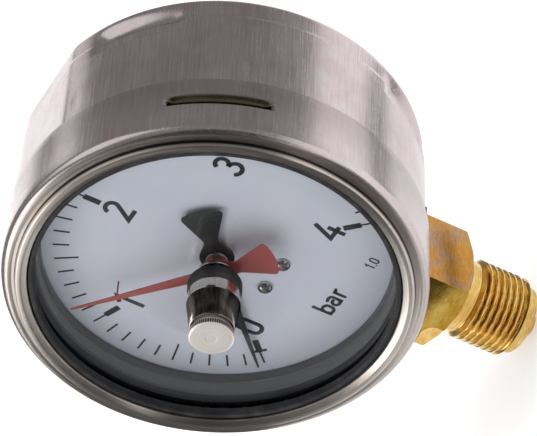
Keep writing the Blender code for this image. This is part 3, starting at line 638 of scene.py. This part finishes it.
def case_warp(x, z, depth):
    """Presses the stamped hollows, one small dent and the flat at 12 o'clock into the cup."""
    radius = math.hypot(x, z)
    inset = CASE_RADIUS - radius
    if inset > 6.0:
        return x, z, depth
    degrees = math.degrees(math.atan2(z, x))
    away = min(abs((degrees - centre + 180) % 360 - 180) for centre in RECESSES)
    across = ease((RECESS_HALF_SPAN + 1.0 - away) / 5.0)
    along = ease((depth - RECESS_FRONT) / 1.3) * ease((CASE_BACK - 2.6 - depth) / 4.6)
    dent = ease(1 - abs(degrees - DENT_ANGLE) / 1.3) * ease(1 - abs(depth - DENT_DEPTH) / 4.5)
    x, z = polar(radius - RECESS_INSET * across * along - DENT_INSET * dent, degrees)
    limit = CASE_FLAT - inset
    softness = 0.35
    over = z - limit + softness
    if depth > CASE_STEP and over > 0:
        z = limit - softness * math.exp(-over / softness)
    return x, z, depth


def make_case():
    """A drawn cup with a rolled front, a bead before its rear corner and a flat back."""
    edge = CASE_RADIUS
    rear = edge - 0.42
    profile = [(45.1, CASE_FRONT), (49.3, CASE_FRONT, 0.3), (49.4, 7.4, 0.4), (GROOVE_RADIUS, 8.0, 0.3),
               (GROOVE_RADIUS, CASE_STEP - 0.4, 0.4), (edge, CASE_STEP + 0.3, 0.4)]
    profile += [(edge, 15.5 + 1.5 * i) for i in range(14)]
    profile += [(edge, 36.6 + 0.3 * i) for i in range(15)]
    profile += [(edge - 0.05, 41.15), (edge - 0.16, 41.4), (edge - 0.3, 41.62), (rear, 41.9)]
    profile += [(rear, 42.4 + 0.5 * i) for i in range(8)]
    profile += arc(rear - REAR_FILLET, CASE_BACK - REAR_FILLET, REAR_FILLET, REAR_FILLET, 6, 90)
    profile += [(40.0, CASE_BACK), (20.0, CASE_BACK), (0.0, CASE_BACK)]
    obj = lathe("case_shell", walled(profile, CASE_WALL), 288, warp=case_warp)
    gap = 0.3
    front, back = depths_of("stem_gasket")
    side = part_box("stem_gasket")[1].x / MM + gap
    tools = [box_piece("opening", (-side, front - gap, -60), (side, back + gap, -40))]
    for node, radius in (("blowout_plug", 6.5), ("case_screw_1", 2.0), ("case_screw_2", 2.0)):
        hole = [(0, CASE_BACK - 3), (radius, CASE_BACK - 3), (radius, CASE_BACK + 3), (0, CASE_BACK + 3)]
        tools.append(lathe(f"hole_{node}", hole, 64, middle(node)))
    stands_for(combined(obj, tools), "case")


# ---- bayonet ring
def ring_warp(x, z, depth):
    """Presses the metal behind each slit inwards as a shallow arch."""
    radius = math.hypot(x, z)
    degrees = math.degrees(math.atan2(z, x))
    away = min(abs((degrees - centre + 180) % 360 - 180) for centre in LANCES) / LANCE_HALF_SPAN
    if radius < RING_RADIUS - 1.0 or away >= 1.0 or depth < SLIT[0]:
        return x, z, depth
    arch = (1 - away ** 4) ** 0.5
    behind = ease(1 - (depth - SLIT[1]) / (0.3 + 1.8 * arch))
    before = ease((depth - SLIT[0]) / 0.5)
    return *polar(radius - LANCE_INSET * ease(1.3 * arch) * behind * before, degrees), depth


def make_ring():
    """The ring's rolled section with three lances, each a slit and a pressed arch."""
    edge = RING_RADIUS
    bore = edge - RING_WALL
    rows = [13.4 - 0.2 * i for i in range(24)]  # closely spaced where the lances bend the wall
    outside = [(edge, RING_BACK, 0.2), (edge, 15.0)] + [(edge, depth) for depth in rows]
    outside += [(edge, 7.0), (edge, 4.5)]
    outside += arc(SHOULDER_RADIUS, SHOULDER_ROUND, edge - SHOULDER_RADIUS, -SHOULDER_ROUND, 0, 90, 8)
    bead = [(BEAD_RADIUS + 1.0, 0.15, 0.5), (BEAD_RADIUS + 0.1, 0.1, 0.15), (BEAD_RADIUS, RING_FRONT, 0.55),
            (LIP_RADIUS + 1.3, RING_FRONT, 0.8), (LIP_RADIUS, -0.6, 0.4), (LIP_RADIUS, 0.4, 0.2),
            (LIP_RADIUS + 0.7, 0.4, 0.1), (LIP_RADIUS + 1.1, -0.6, 0.3), (BEAD_RADIUS - 0.5, -0.7, 0.3),
            (BEAD_RADIUS - 0.3, RING_WALL, 0.3), (bore, RING_WALL, 0.4)]
    inside = [(bore, depth) for depth in reversed(rows)] + [(bore, 15.0), (bore, RING_BACK, 0.15)]
    obj = lathe("bezel_ring", outside + bead + inside, 360, warp=ring_warp)
    tools = []
    for index, angle in enumerate(LANCES):
        outline = sector_outline((edge - 3.6, edge + 2.6), angle + 0.03, LANCE_HALF_SPAN - 0.5, 23)
        tools.append(sheet_piece(f"slit_{index}", [outline], SLIT, 0.02, 0))
    stands_for(combined(obj, tools), "bayonet_ring")


# ---- turned pieces
def make_washer(name, node, bore, bore_corner, edge_corner):
    """A flat ring that fills its node's extent."""
    radius, front, back = extent(node)
    section = [(bore, front, bore_corner), (radius, front, edge_corner), (radius, back, edge_corner),
               (bore, back, bore_corner)]
    stands_for(lathe(name, section, 192), node)


# Sections of the round pieces, worked out from a node's radius, front depth and back depth
SECTIONS = {
    "window_seal": lambda radius, front, back: [
        (radius, back, 0.3), (radius, front + 1.2, 0.3), (43.9, front + 1.2), (43.9, front, 0.3),
        (42.6, front, 0.3), (42.6, back, 0.1)],
    "spacer_ring": lambda radius, front, back: [
        (radius, back, 0.2), (radius, front, 0.2), (43.3, front, 0.2), (43.3, 6.9, 0.3), (42.5, 7.2, 0.3),
        (42.5, 10.2, 0.25), (42.0, 10.4, 0.25), (42.0, back, 0.2)],
    "sleeve_seat": lambda radius, front, back: [
        (radius, back, 0.3), (radius, front + 0.9, 0.4), (radius - 0.5, front, 0.4), (3.4, front, 0.2),
        (3.4, back, 0.2)],
    "window_bush": lambda radius, front, back: [
        (1.6, front, 0.1), (radius, front, 0.2), (radius, back, 0.2), (1.6, back, 0.1)],
    "bush_nut": lambda radius, front, back: [
        (3.3, front, 0.1), (radius, front, 0.12), (radius, back, 0.2), (3.3, back, 0.1)],
    "pointer_hub": lambda radius, front, back: [
        (1.1, front, 0.15), (radius, front, 0.45), (radius, 11.9, 0.15), (2.0, 11.9, 0.1),
        (2.0, back, 0.2), (1.1, back, 0.1)],
    "drag_spindle": lambda radius, front, back: [
        (0, front), (1.3, front, 0.3), (1.3, 5.4), (radius, 5.4, 0.06), (radius, 5.6, 0.06), (1.3, 5.6),
        (1.3, back, 0.2), (0, back)],
    "blowout_plug": lambda radius, front, back: [
        (0, front), (radius, front, 0.3), (radius, front + 1.7, 0.2), (6.2, front + 1.7, 0.1),
        (6.2, back, 0.5), (4.4, back, 0.1), (4.3, back - 0.35, 0.15), (3.6, back - 0.35, 0.15),
        (3.5, back, 0.1), (0, back)],
}


def make_turned_pieces():
    for node, section in SECTIONS.items():
        profile = section(*extent(node))
        centre = middle(node) if node == "blowout_plug" else (0.0, 0.0)
        segments = 288 if profile[0][0] > 40 else 96
        stands_for(lathe(f"{node}_turned", profile, segments, centre), node)


def knurl(inner, outer, teeth, ends):
    """Warp that cuts pointed knurls into a rim between two depths."""
    def warp(x, z, depth):
        radius = math.hypot(x, z)
        if radius < inner:
            return x, z, depth
        degrees = math.degrees(math.atan2(z, x))
        wave = abs((degrees * teeth / 360.0) % 1.0 - 0.5) * 2
        deep = ease((depth - ends[0]) / 0.3) * ease((ends[1] - depth) / 0.3)
        return *polar(radius - (outer - inner) * wave * deep, degrees), depth
    return warp


def make_knob():
    """The pressed cap with its knurled rim, and the tapered sleeve behind it."""
    radius, front, back = extent("knob_cap")
    rim = front + 1.8
    profile = [(0, front + 0.05), (1.2, front + 0.05, 0.3), (1.5, front, 0.3), (radius - 0.45, front, 0.1),
               (radius, front + 0.3, 0.1)]
    profile += [(radius, front + 0.4 + 0.1 * i) for i in range(12)]
    profile += [(radius, rim - 0.1, 0.1), (radius - 0.3, rim, 0.1), (3.4, rim, 0.2), (3.4, back, 0.2),
                (1.6, back, 0.1), (1.6, front + 0.6, 0.1), (0, front + 0.6)]
    cap = lathe("reset_cap", profile, 360, warp=knurl(radius - 0.45, radius, 60, (front + 0.25, rim)))
    stands_for(cap, "knob_cap", look=cap_look())

    radius, front, back = extent("knob_sleeve")
    profile = [(5.3, front, 0.12), (6.35, front + 7.2, 0.2), (radius, front + 7.7, 0.15),
               (6.2, front + 8.5, 0.15), (6.2, back, 0.25), (3.4, back, 0.2), (3.4, back - 2.1, 0.1),
               (3.8, back - 2.1, 0.1), (3.8, front, 0.12)]
    sleeve = lathe("knob_barrel", profile, 160)
    notch = box_piece("notch", (-8, front + 4.2, -0.5), (-4.6, front + 7.9, 0.5), 0.1)
    stands_for(combined(sleeve, [notch]), "knob_sleeve")


# ---- dial
DIAL_FRONT = depths_of("dial")[0]
SCALE_START, SCALE_SPAN = 225.4, 270.4  # degrees, counter-clockwise from +X, run clockwise
BARS, TICKS_PER_BAR = 4, 10
NUMERAL_RADII = (26.0, 27.8, 26.3, 27.7, 27.5)
INK = (DIAL_FRONT - 0.03, DIAL_FRONT - 0.005)  # front and back depth of the print
TICK_END = 39.3
MINOR_START, HALF_START, MAJOR_START = 35.35, 33.4, 35.4
TICK_WIDTH = 0.52
MAJOR_BAR = (31.1, 35.5, 1.6)  # the broad inner part: inner, outer radius, width
ZERO_MARK = (35.0, 1.9, 0.8)  # the cross stroke on zero: radius, half length, width
NUMERAL_SIZE, UNIT_SIZE, CLASS_SIZE = (7.9, 1.15), (5.6, 0.85), (2.7, 0.42)  # height and stroke


class Print:
    """Ink on the dial: thin closed strokes gathered in one mesh."""

    def __init__(self):
        self.bm = bmesh.new()

    def stroke(self, path, width, closed=False):
        """A line of even width along a path of (x, z) points."""
        count = len(path)
        rows = []
        for here, along, cosine in bends(path, closed):
            reach = width / 2 / max(0.4, cosine)
            side = Vector((-along.y, along.x)) * reach
            left, right = here + side, here - side
            corners = ((left, INK[0]), (right, INK[0]), (right, INK[1]), (left, INK[1]))
            rows.append([self.bm.verts.new(place(at.x, depth, at.y)) for at, depth in corners])
        for i in range(count if closed else count - 1):
            bridge(self.bm, rows[i], rows[(i + 1) % count])
        if not closed:
            for row in (rows[0], rows[-1]):
                self.bm.faces.new(row)

    def radial(self, degrees, inner, outer, width):
        self.stroke([polar(inner, degrees), polar(outer, degrees)], width)

    def glyph(self, name, centre, height, stroke):
        for path, closed in GLYPHS[name]:
            points = [(centre[0] + x * height, centre[1] + z * height) for x, z in path]
            self.stroke(points, stroke, closed)


# Upright condensed characters, one unit high about their centre: (path, closed) strokes
GLYPHS = {
    "0": [(arc(0, 0.22, 0.2, 0.21, 0, 180) + arc(0, -0.22, 0.2, 0.21, 180, 360), True)],
    "1": [([(-0.17, 0.25), (0.04, 0.43), (0.04, -0.5)], False)],
    "2": [(arc(0, 0.22, 0.21, 0.21, 170, -25) + [(-0.2, -0.43), (0.25, -0.43)], False)],
    "3": [(arc(-0.01, 0.225, 0.2, 0.205, 160, -70) + [(-0.02, 0.02)], False),
          ([(-0.02, 0.02)] + arc(-0.01, -0.21, 0.22, 0.22, 70, -160), False)],
    "4": [([(0.06, 0.5), (-0.23, -0.2), (0.3, -0.2)], False),
          ([(0.12, 0.1), (0.12, -0.5)], False)],
    "b": [([(-0.2, 0.5), (-0.2, -0.5)], False),
          (arc(0.0, -0.1, 0.19, 0.17, 180, 0) + arc(0.0, -0.26, 0.19, 0.18, 0, -180), False)],
    "a": [(arc(-0.01, 0.0, 0.18, 0.13, 160, 0) + [(0.17, -0.5)], False),
          (arc(-0.02, -0.27, 0.18, 0.17, 60, 360), False)],
    "r": [([(-0.12, 0.16), (-0.12, -0.5)], False), (arc(0.04, -0.04, 0.16, 0.15, 180, 60), False)],
    ".": [([(0.0, -0.5), (0.0, -0.4)], False)],
}


def make_dial():
    """The lacquered disc and its printed scale, numerals and unit."""
    make_washer("dial_plate", "dial", 3.0, 0.05, 0.12)
    ink = Print()
    total = BARS * TICKS_PER_BAR
    for i in range(total + 1):
        degrees = SCALE_START - SCALE_SPAN * i / total
        if i % TICKS_PER_BAR == 0:
            number = i // TICKS_PER_BAR
            ink.radial(degrees, MAJOR_START, TICK_END, 0.5)
            ink.radial(degrees, *MAJOR_BAR)
            ink.glyph(str(number), polar(NUMERAL_RADII[number], degrees), *NUMERAL_SIZE)
        else:
            is_half = i % (TICKS_PER_BAR // 2) == 0
            ink.radial(degrees, HALF_START if is_half else MINOR_START, TICK_END, TICK_WIDTH)
    radius, half_length, width = ZERO_MARK
    zero = Vector(polar(radius, SCALE_START))
    across = Vector(polar(half_length, SCALE_START + 90))
    ink.stroke([tuple(zero - across), tuple(zero + across)], width)
    for letter, x in zip("bar", (-3.3, -0.1, 3.1)):
        ink.glyph(letter, (x, -31.2), *UNIT_SIZE)
    for letter, x in zip("1.0", (14.4, 15.4, 16.5)):
        ink.glyph(letter, (x, -33.6), *CLASS_SIZE)
    print_piece = mesh_piece("dial_print", ink.bm)
    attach(print_piece, BODY["dial"])
    finished(print_piece, "dial", PRINT_INK)


def recess_outline(kind, radius, centre):
    """A driver recess: six soft lobes, or a straight slot."""
    if kind == "lobes":
        reaches = [(0.46 + 0.08 * math.cos(math.radians(6 * angle)), angle) for angle in range(0, 360, 5)]
        points = [polar(radius * reach, angle) for reach, angle in reaches]
    else:
        end = radius * 1.2
        half_width = 0.4
        points = [(end, half_width), (-end, half_width), (-end, -half_width), (end, -half_width)]
    return [(centre[0] + x, centre[1] + z) for x, z in points]


def make_screw(node, kind):
    """A domed head with a driver recess, over its shank; case screws look rearwards."""
    radius, front, back = extent(node)
    centre = middle(node)
    head, shank, inward = (back, front, -1) if kind == "slot" else (front, back, 1)
    seat = head + inward * (1.6 if kind == "slot" else 1.0)
    dome_height, dome_angle, steps = 0.558, 1.25, 8
    profile = []
    for step in range(steps + 1):
        angle = dome_angle * step / steps
        drop = dome_height * (1 - math.cos(angle)) / (1 - math.cos(dome_angle))
        profile.append((radius * math.sin(angle), head + inward * drop))
    profile += [(radius, head + inward * 0.65, 0.1), (radius, seat, 0.08), (radius * 0.5, seat, 0.05),
                (radius * 0.5, shank, 0.1), (0, shank)]
    obj = lathe(f"{node}_domed", profile, 72, centre)
    depths = sorted((head - inward * 0.5, head + inward * 1.0))
    tool = sheet_piece("recess", [recess_outline(kind, radius, centre)], depths, 0.0, 0)
    stands_for(combined(obj, [tool]), node)


# ---- pointers
POINTER_ANGLE = 223.5  # both as in the model, counter-clockwise from +X
DRAG_ANGLE = 140.0
FINGER_RADIUS = 25.5  # where the drive finger stands on the drag pointer


def pointer_outline(tip_radius):
    """A needle along +X, a round middle and a fan-shaped counterweight with soft corners."""
    fan_radius, half_span = 15.0, 21.0
    arc_points = [polar(fan_radius, 180 - half_span + 2 * half_span * i / 10) for i in range(11)]
    far = [(*arc_points[0], 1.5), *arc_points[2:-2], (*arc_points[-1], 1.5)]
    upper = [(tip_radius, 0.22, 0.1), (14.0, 1.1), (4.8, 1.45, 1.5)]
    upper += [polar(4.2, a) for a in range(40, 136, 12)]
    upper += [(-5.2, 1.55, 2.0)]
    lower = [(point[0], -point[1], *point[2:]) for point in reversed(upper)]
    return rounded(upper + far + lower)


def make_pointer(node, name, angle, tip_radius, bore):
    depths = depths_of(node)
    spin = Matrix.Rotation(math.radians(angle), 2)
    outline = [tuple(spin @ Vector(point)) for point in pointer_outline(tip_radius)]
    sides = 64
    hole = [polar(bore, 360.0 * i / sides) for i in range(sides)]
    obj = sheet_piece(name, [outline, hole], depths, 0.07)
    if node == "drag_pointer":
        reach = depths_of("pointer")[1]
        finger_radius, start = 0.22, depths[0] + 0.2
        finger = [(0, start), (finger_radius, start), (finger_radius, reach, 0.08), (0, reach)]
        pin = lathe("drive_finger", finger, 24, polar(FINGER_RADIUS, angle))
        obj = combined(obj, [pin], "UNION")
    stands_for(obj, node)


# ---- stem
# Heights are above the sealing face, which is the frame's zero
THREAD_START, THREAD_END = 3.4, 15.9
THREAD_RADIUS, THREAD_DEPTH = 10.36, 1.16
PILOT_RADIUS, NECK_RADIUS = 8.75, 9.2
BLOCK_BOTTOM, BLOCK_TOP = 20.3, 34.2
NIPPLE_RADIUS, STEM_BORE = 3.0, 1.6


def thread_warp(x, y, height):
    """Cuts the helical groove: crests at the outside, roots a thread's depth below."""
    radius = math.hypot(x, y)
    if not THREAD_START < height < THREAD_END or radius < NECK_RADIUS + 0.8:
        return x, y, height
    angle = math.atan2(y, x)
    phase = (height / PITCH - angle / (2 * math.pi)) % 1.0
    groove = ease((0.5 - abs(phase - 0.5) - 0.1) / 0.34)
    fade = ease((height - THREAD_START) / 0.9) * ease((THREAD_END - height) / 0.4)
    lead = ease((THREAD_START + 1.4 - height) / 1.4) * 0.6
    share = (radius - THREAD_DEPTH * groove * fade - lead) / radius
    return x * share, y * share, height


def make_stem():
    """Threaded spigot, square block with turned corners, and the inner head and post."""
    low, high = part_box("pressure_stem")
    half = high.x / MM
    tip = low.z / MM
    bottom, top = BLOCK_BOTTOM, BLOCK_TOP
    profile = [(0, tip), (NIPPLE_RADIUS - 0.2, tip, 0.1), (NIPPLE_RADIUS, tip + 0.2), (NIPPLE_RADIUS, 0.0),
               (PILOT_RADIUS - 0.45, 0.0, 0.1), (PILOT_RADIUS, 0.45, 0.1), (PILOT_RADIUS, 3.0),
               (9.6, 3.0, 0.1), (THREAD_RADIUS, THREAD_START - 0.1)]
    rows = 118
    profile += [(THREAD_RADIUS, THREAD_START + (THREAD_END - THREAD_START) * i / rows)
                for i in range(rows + 1)]
    profile += [(THREAD_RADIUS - 0.3, THREAD_END + 0.2), (NECK_RADIUS, THREAD_END + 0.8, 0.3),
                (NECK_RADIUS, bottom + 3), (0, bottom + 3)]
    obj = lathe("stem_body", profile, 160, about="stem", warp=thread_warp, smooth_degrees=40)
    height = AXIS_Z / MM
    stem_depth = -SHOULDER_Y / MM
    block = box_piece("block", (-half, stem_depth - half, bottom - height),
                      (half, stem_depth + half, top - height), 0.12)
    corners = [(0, bottom - 1), (half - 1.9, bottom - 1), (half * 1.5, bottom + 2.2),
               (half * 1.5, top + 5), (0, top + 5)]
    block = combined(block, [lathe("corner_turning", corners, 160, about="stem")], "INTERSECT")
    inner = half - 0.2
    riser = box_piece("riser", (-inner, stem_depth - inner, top - 2 - height),
                      (inner, stem_depth + inner, -40))
    head = box_piece("head", (-inner, stem_depth - 7, -42), (inner, stem_depth + 14.7, -24))
    post = box_piece("post", (-8, 25.5, -26), (8, 31.5, -6))
    obj = combined(obj, [block, riser, head, post], "UNION")
    spot = [(-17.4, -69.2), (-3.4, -67.7, 3.8), (-3.4, -60.1, 3.8), (-17.4, -61.6)]
    face_depth = stem_depth - half
    obj = combined(obj, [sheet_piece("spotface", [rounded(spot, steps=12)],
                                     (face_depth - 1, face_depth + 0.5), 0.05, 1),
                         box_piece("pocket", (-12, 29.6, -33.6), (-7.2, 43.4, -26.0)),
                         lathe("bore", [(0, -5), (STEM_BORE, -5), (STEM_BORE, 40), (0, 40)], 32,
                               about="stem")])
    stands_for(obj, "pressure_stem")


def wire_ring(bm, radius, degrees, depth, half_width, half_depth, sides):
    """A closed oval of vertices across a wire that runs round the gauge axis."""
    ring = []
    for side in range(sides):
        across, along = polar(1.0, 360.0 * side / sides)
        x, z = polar(radius + half_width * across, degrees)
        ring.append(bm.verts.new(place(x, depth + half_depth * along, z)))
    return ring


def make_tube():
    """The Bourdon tube: a flat-oval section swept to a C."""
    front, back = depths_of("bourdon_tube")
    depth, half_depth = (front + back) / 2, (back - front) / 2
    radius = 31.0
    half_width = (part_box("bourdon_tube")[1].z - AXIS_Z) / MM - radius
    root_angle, sweep = 255.0, 280.0
    bm = bmesh.new()
    rings = []
    steps, sides, wall = 84, 24, 0.4
    for inset, count in ((0.0, steps + 1), (wall, steps)):
        for i in range(count):
            angle = root_angle - sweep * i / steps
            rings.append(wire_ring(bm, radius, angle, depth, half_width - inset, half_depth - inset, sides))
    outer, inner = rings[:steps + 1], rings[steps + 1:]
    walls = list(zip(outer, outer[1:])) + list(zip(inner, inner[1:])) + [(outer[0], inner[0])]
    for first, second in walls:
        bridge(bm, first, second)
    for cap in (outer[-1], inner[-1]):
        bm.faces.new(cap)
    tube = mesh_piece("bourdon_spring", bm)
    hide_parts("bourdon_tube")
    finished(tube, "bourdon_tube")
    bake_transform(tube)


def make_knob_spring():
    """A coil spring between the cap and the drag spindle's body."""
    turns, per_turn, sides = 3.5, 24, 8
    coil, wire = 2.4, 0.24  # radii of the coil and of its wire
    front, back = -10.4, -6.2
    count = int(turns * per_turn) + 1
    bm = bmesh.new()
    rings = []
    for step in range(count):
        depth = front + (back - front) * step / (count - 1)
        rings.append(wire_ring(bm, coil, 360.0 * step / per_turn, depth, wire, wire, sides))
    for first, second in zip(rings, rings[1:]):
        bridge(bm, first, second)
    for cap in (rings[0], rings[-1]):
        bm.faces.new(cap)
    spring = mesh_piece("reset_spring", bm)
    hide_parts("knob_spring")
    finished(spring, "knob_spring")
    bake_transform(spring)


# ---- build
make_case()
make_ring()
make_washer("window_pane", "window", 3.3, 0.15, 0.25)
make_turned_pieces()
make_knob()
make_dial()
for side in ("left", "right"):
    make_screw(f"dial_screw_{side}", "lobes")
for number in (1, 2):
    make_screw(f"case_screw_{number}", "slot")
make_pointer("pointer", "pointer_needle", POINTER_ANGLE, 38.5, 1.15)
make_pointer("drag_pointer", "drag_needle", DRAG_ANGLE, 37.6, 1.55)
make_stem()
make_tube()
make_knob_spring()
for node, obj in frame["nodes"].items():
    if not obj.hide_render:
        obj.data.materials.clear()
        obj.data.materials.append(LOOKS[SLOT[node]].material)


# ---- studio
def facing(obj, direction, distance):
    """Puts an object at a direction and distance from the gauge, turned towards it."""
    back = Vector(direction).normalized()
    obj.location = Vector((0, 0, AXIS_Z)) + back * distance
    obj.rotation_mode = "QUATERNION"
    obj.rotation_quaternion = (-back).to_track_quat("-Z", "Y")
    STAGE.objects.link(obj)


def soft_box(name, direction, distance, size, brightness, seen_by="all"):
    """A rectangular light that "all", "diffuse" or "glossy" rays see; brightness is its radiance."""
    light = bpy.data.lights.new(name, "AREA")
    light.shape = "RECTANGLE"
    light.size, light.size_y = size
    light.energy = brightness * math.pi * size[0] * size[1]
    obj = bpy.data.objects.new(name, light)
    obj.visible_diffuse = seen_by != "glossy"
    obj.visible_glossy = seen_by != "diffuse"
    facing(obj, direction, distance)


def plane(name, size, look):
    mesh = bpy.data.meshes.new(name)
    corners = [(x * size[0] / 2, y * size[1] / 2, 0) for x, y in ((-1, -1), (1, -1), (1, 1), (-1, 1))]
    mesh.from_pydata(corners, [], [(0, 1, 2, 3)])
    mesh.materials.append(look.material)
    return bpy.data.objects.new(name, mesh)


def dark_card(name, direction, distance, size, tone=0.03, lying=False):
    """A card that only reflections see, to give the bright metal its dark bands."""
    look = painted(name, (tone,) * 3, (tone * 1.1,) * 3, 0.8)
    card = plane(name, size, look)
    card.visible_camera = False
    card.visible_diffuse = False
    card.visible_transmission = False
    card.visible_shadow = False
    facing(card, direction, distance)
    if lying:
        card.rotation_quaternion = (1, 0, 0, 0)
        card.location.z = CAD_BOX[0].z + 0.001


def make_floor():
    paper = Look("floor_paper", (0.62, 0.62, 0.62), 0.85)
    tone = paper.noise(paper.position, 0.004, 2.0)
    paper.set("Base Color", paper.mixed(tone, (0.62, 0.62, 0.62), (0.6, 0.6, 0.605)))
    paper.shader.inputs["Emission Color"].default_value = (1.0, 1.0, 1.0, 1.0)
    paper.shader.inputs["Emission Strength"].default_value = 0.5
    floor = plane("floor", (8.0, 8.0), paper)
    floor.location.z = CAD_BOX[0].z - 0.0002
    STAGE.objects.link(floor)


def make_world():
    """A dim grey room for reflections, seen as white by the camera."""
    world = bpy.data.worlds.new("studio")
    world.use_nodes = True
    bpy.context.scene.world = world
    tree = world.node_tree
    background = tree.nodes["Background"]
    background.inputs["Color"].default_value = (1.0, 0.985, 0.98, 1.0)
    rays = tree.nodes.new("ShaderNodeLightPath")
    strength = tree.nodes.new("ShaderNodeMapRange")
    tree.links.new(rays.outputs["Is Camera Ray"], strength.inputs[0])
    strength.inputs[3].default_value = 0.27
    strength.inputs[4].default_value = 1.0
    tree.links.new(strength.outputs[0], background.inputs["Strength"])


def make_camera():
    """The photograph's view: a long lens from the lower right, rolled with the lying gauge."""
    azimuth, elevation, roll = (math.radians(a) for a in (40.127, 17.882, -66.928))
    target = Vector((0.005617, -0.008118, 0.075186))
    distance = 0.69408
    data = bpy.data.cameras.new("camera")
    data.sensor_width = 36.0
    data.lens = 192.995
    data.clip_start = 0.02
    data.clip_end = 20.0
    camera = bpy.data.objects.new("camera", data)
    back = Vector((math.sin(azimuth) * math.cos(elevation), -math.cos(azimuth) * math.cos(elevation),
                   math.sin(elevation)))
    level = (-back).to_track_quat("-Z", "Y").to_matrix().to_4x4()
    camera.matrix_world = (Matrix.Translation(target + back * distance) @ level
                           @ Matrix.Rotation(roll, 4, "Z"))
    STAGE.objects.link(camera)
    bpy.context.scene.camera = camera


make_floor()
make_world()
make_camera()
soft_box("overhead", (0.0, 0.02, 1.0), 1.1, (1.8, 1.8), 2.0, "diffuse")
soft_box("overhead_sheen", (0.1, 0.1, 1.0), 1.1, (0.9, 0.9), 0.8, "glossy")
soft_box("front_fill", (-0.2, -0.9, 0.35), 1.3, (1.2, 0.9), 2.3, "diffuse")
soft_box("left_window", (-0.66, 0.73, 0.06), 1.0, (0.74, 0.74), 1.2)
soft_box("rear_strip", (-0.35, 0.73, 0.6), 1.0, (0.16, 0.3), 0.8, "glossy")
soft_box("key", (-0.8, -0.57, 0.2), 1.1, (0.55, 0.85), 2.6, "glossy")
soft_box("edge_sheen", (-0.58, -0.45, 0.62), 1.1, (0.5, 0.5), 2.4, "glossy")
dark_card("card_front", (-0.32, -0.42, -0.087), 0.535, (0.95, 0.66), lying=True)
dark_card("card_left", (-0.46, -0.015, -0.087), 0.468, (0.68, 0.15), lying=True)
dark_card("card_standing", (0.17, -0.55, 0.13), 0.59, (1.0, 0.5))
dark_card("card_right", (0.68, 0.72, -0.108), 0.36, (0.5, 0.11), 0.25)
dark_card("card_small", (0.0765, 0.068, -0.087), 0.134, (0.03, 0.07), 0.3, lying=True)
bpy.context.scene.view_settings.view_transform = "Standard"
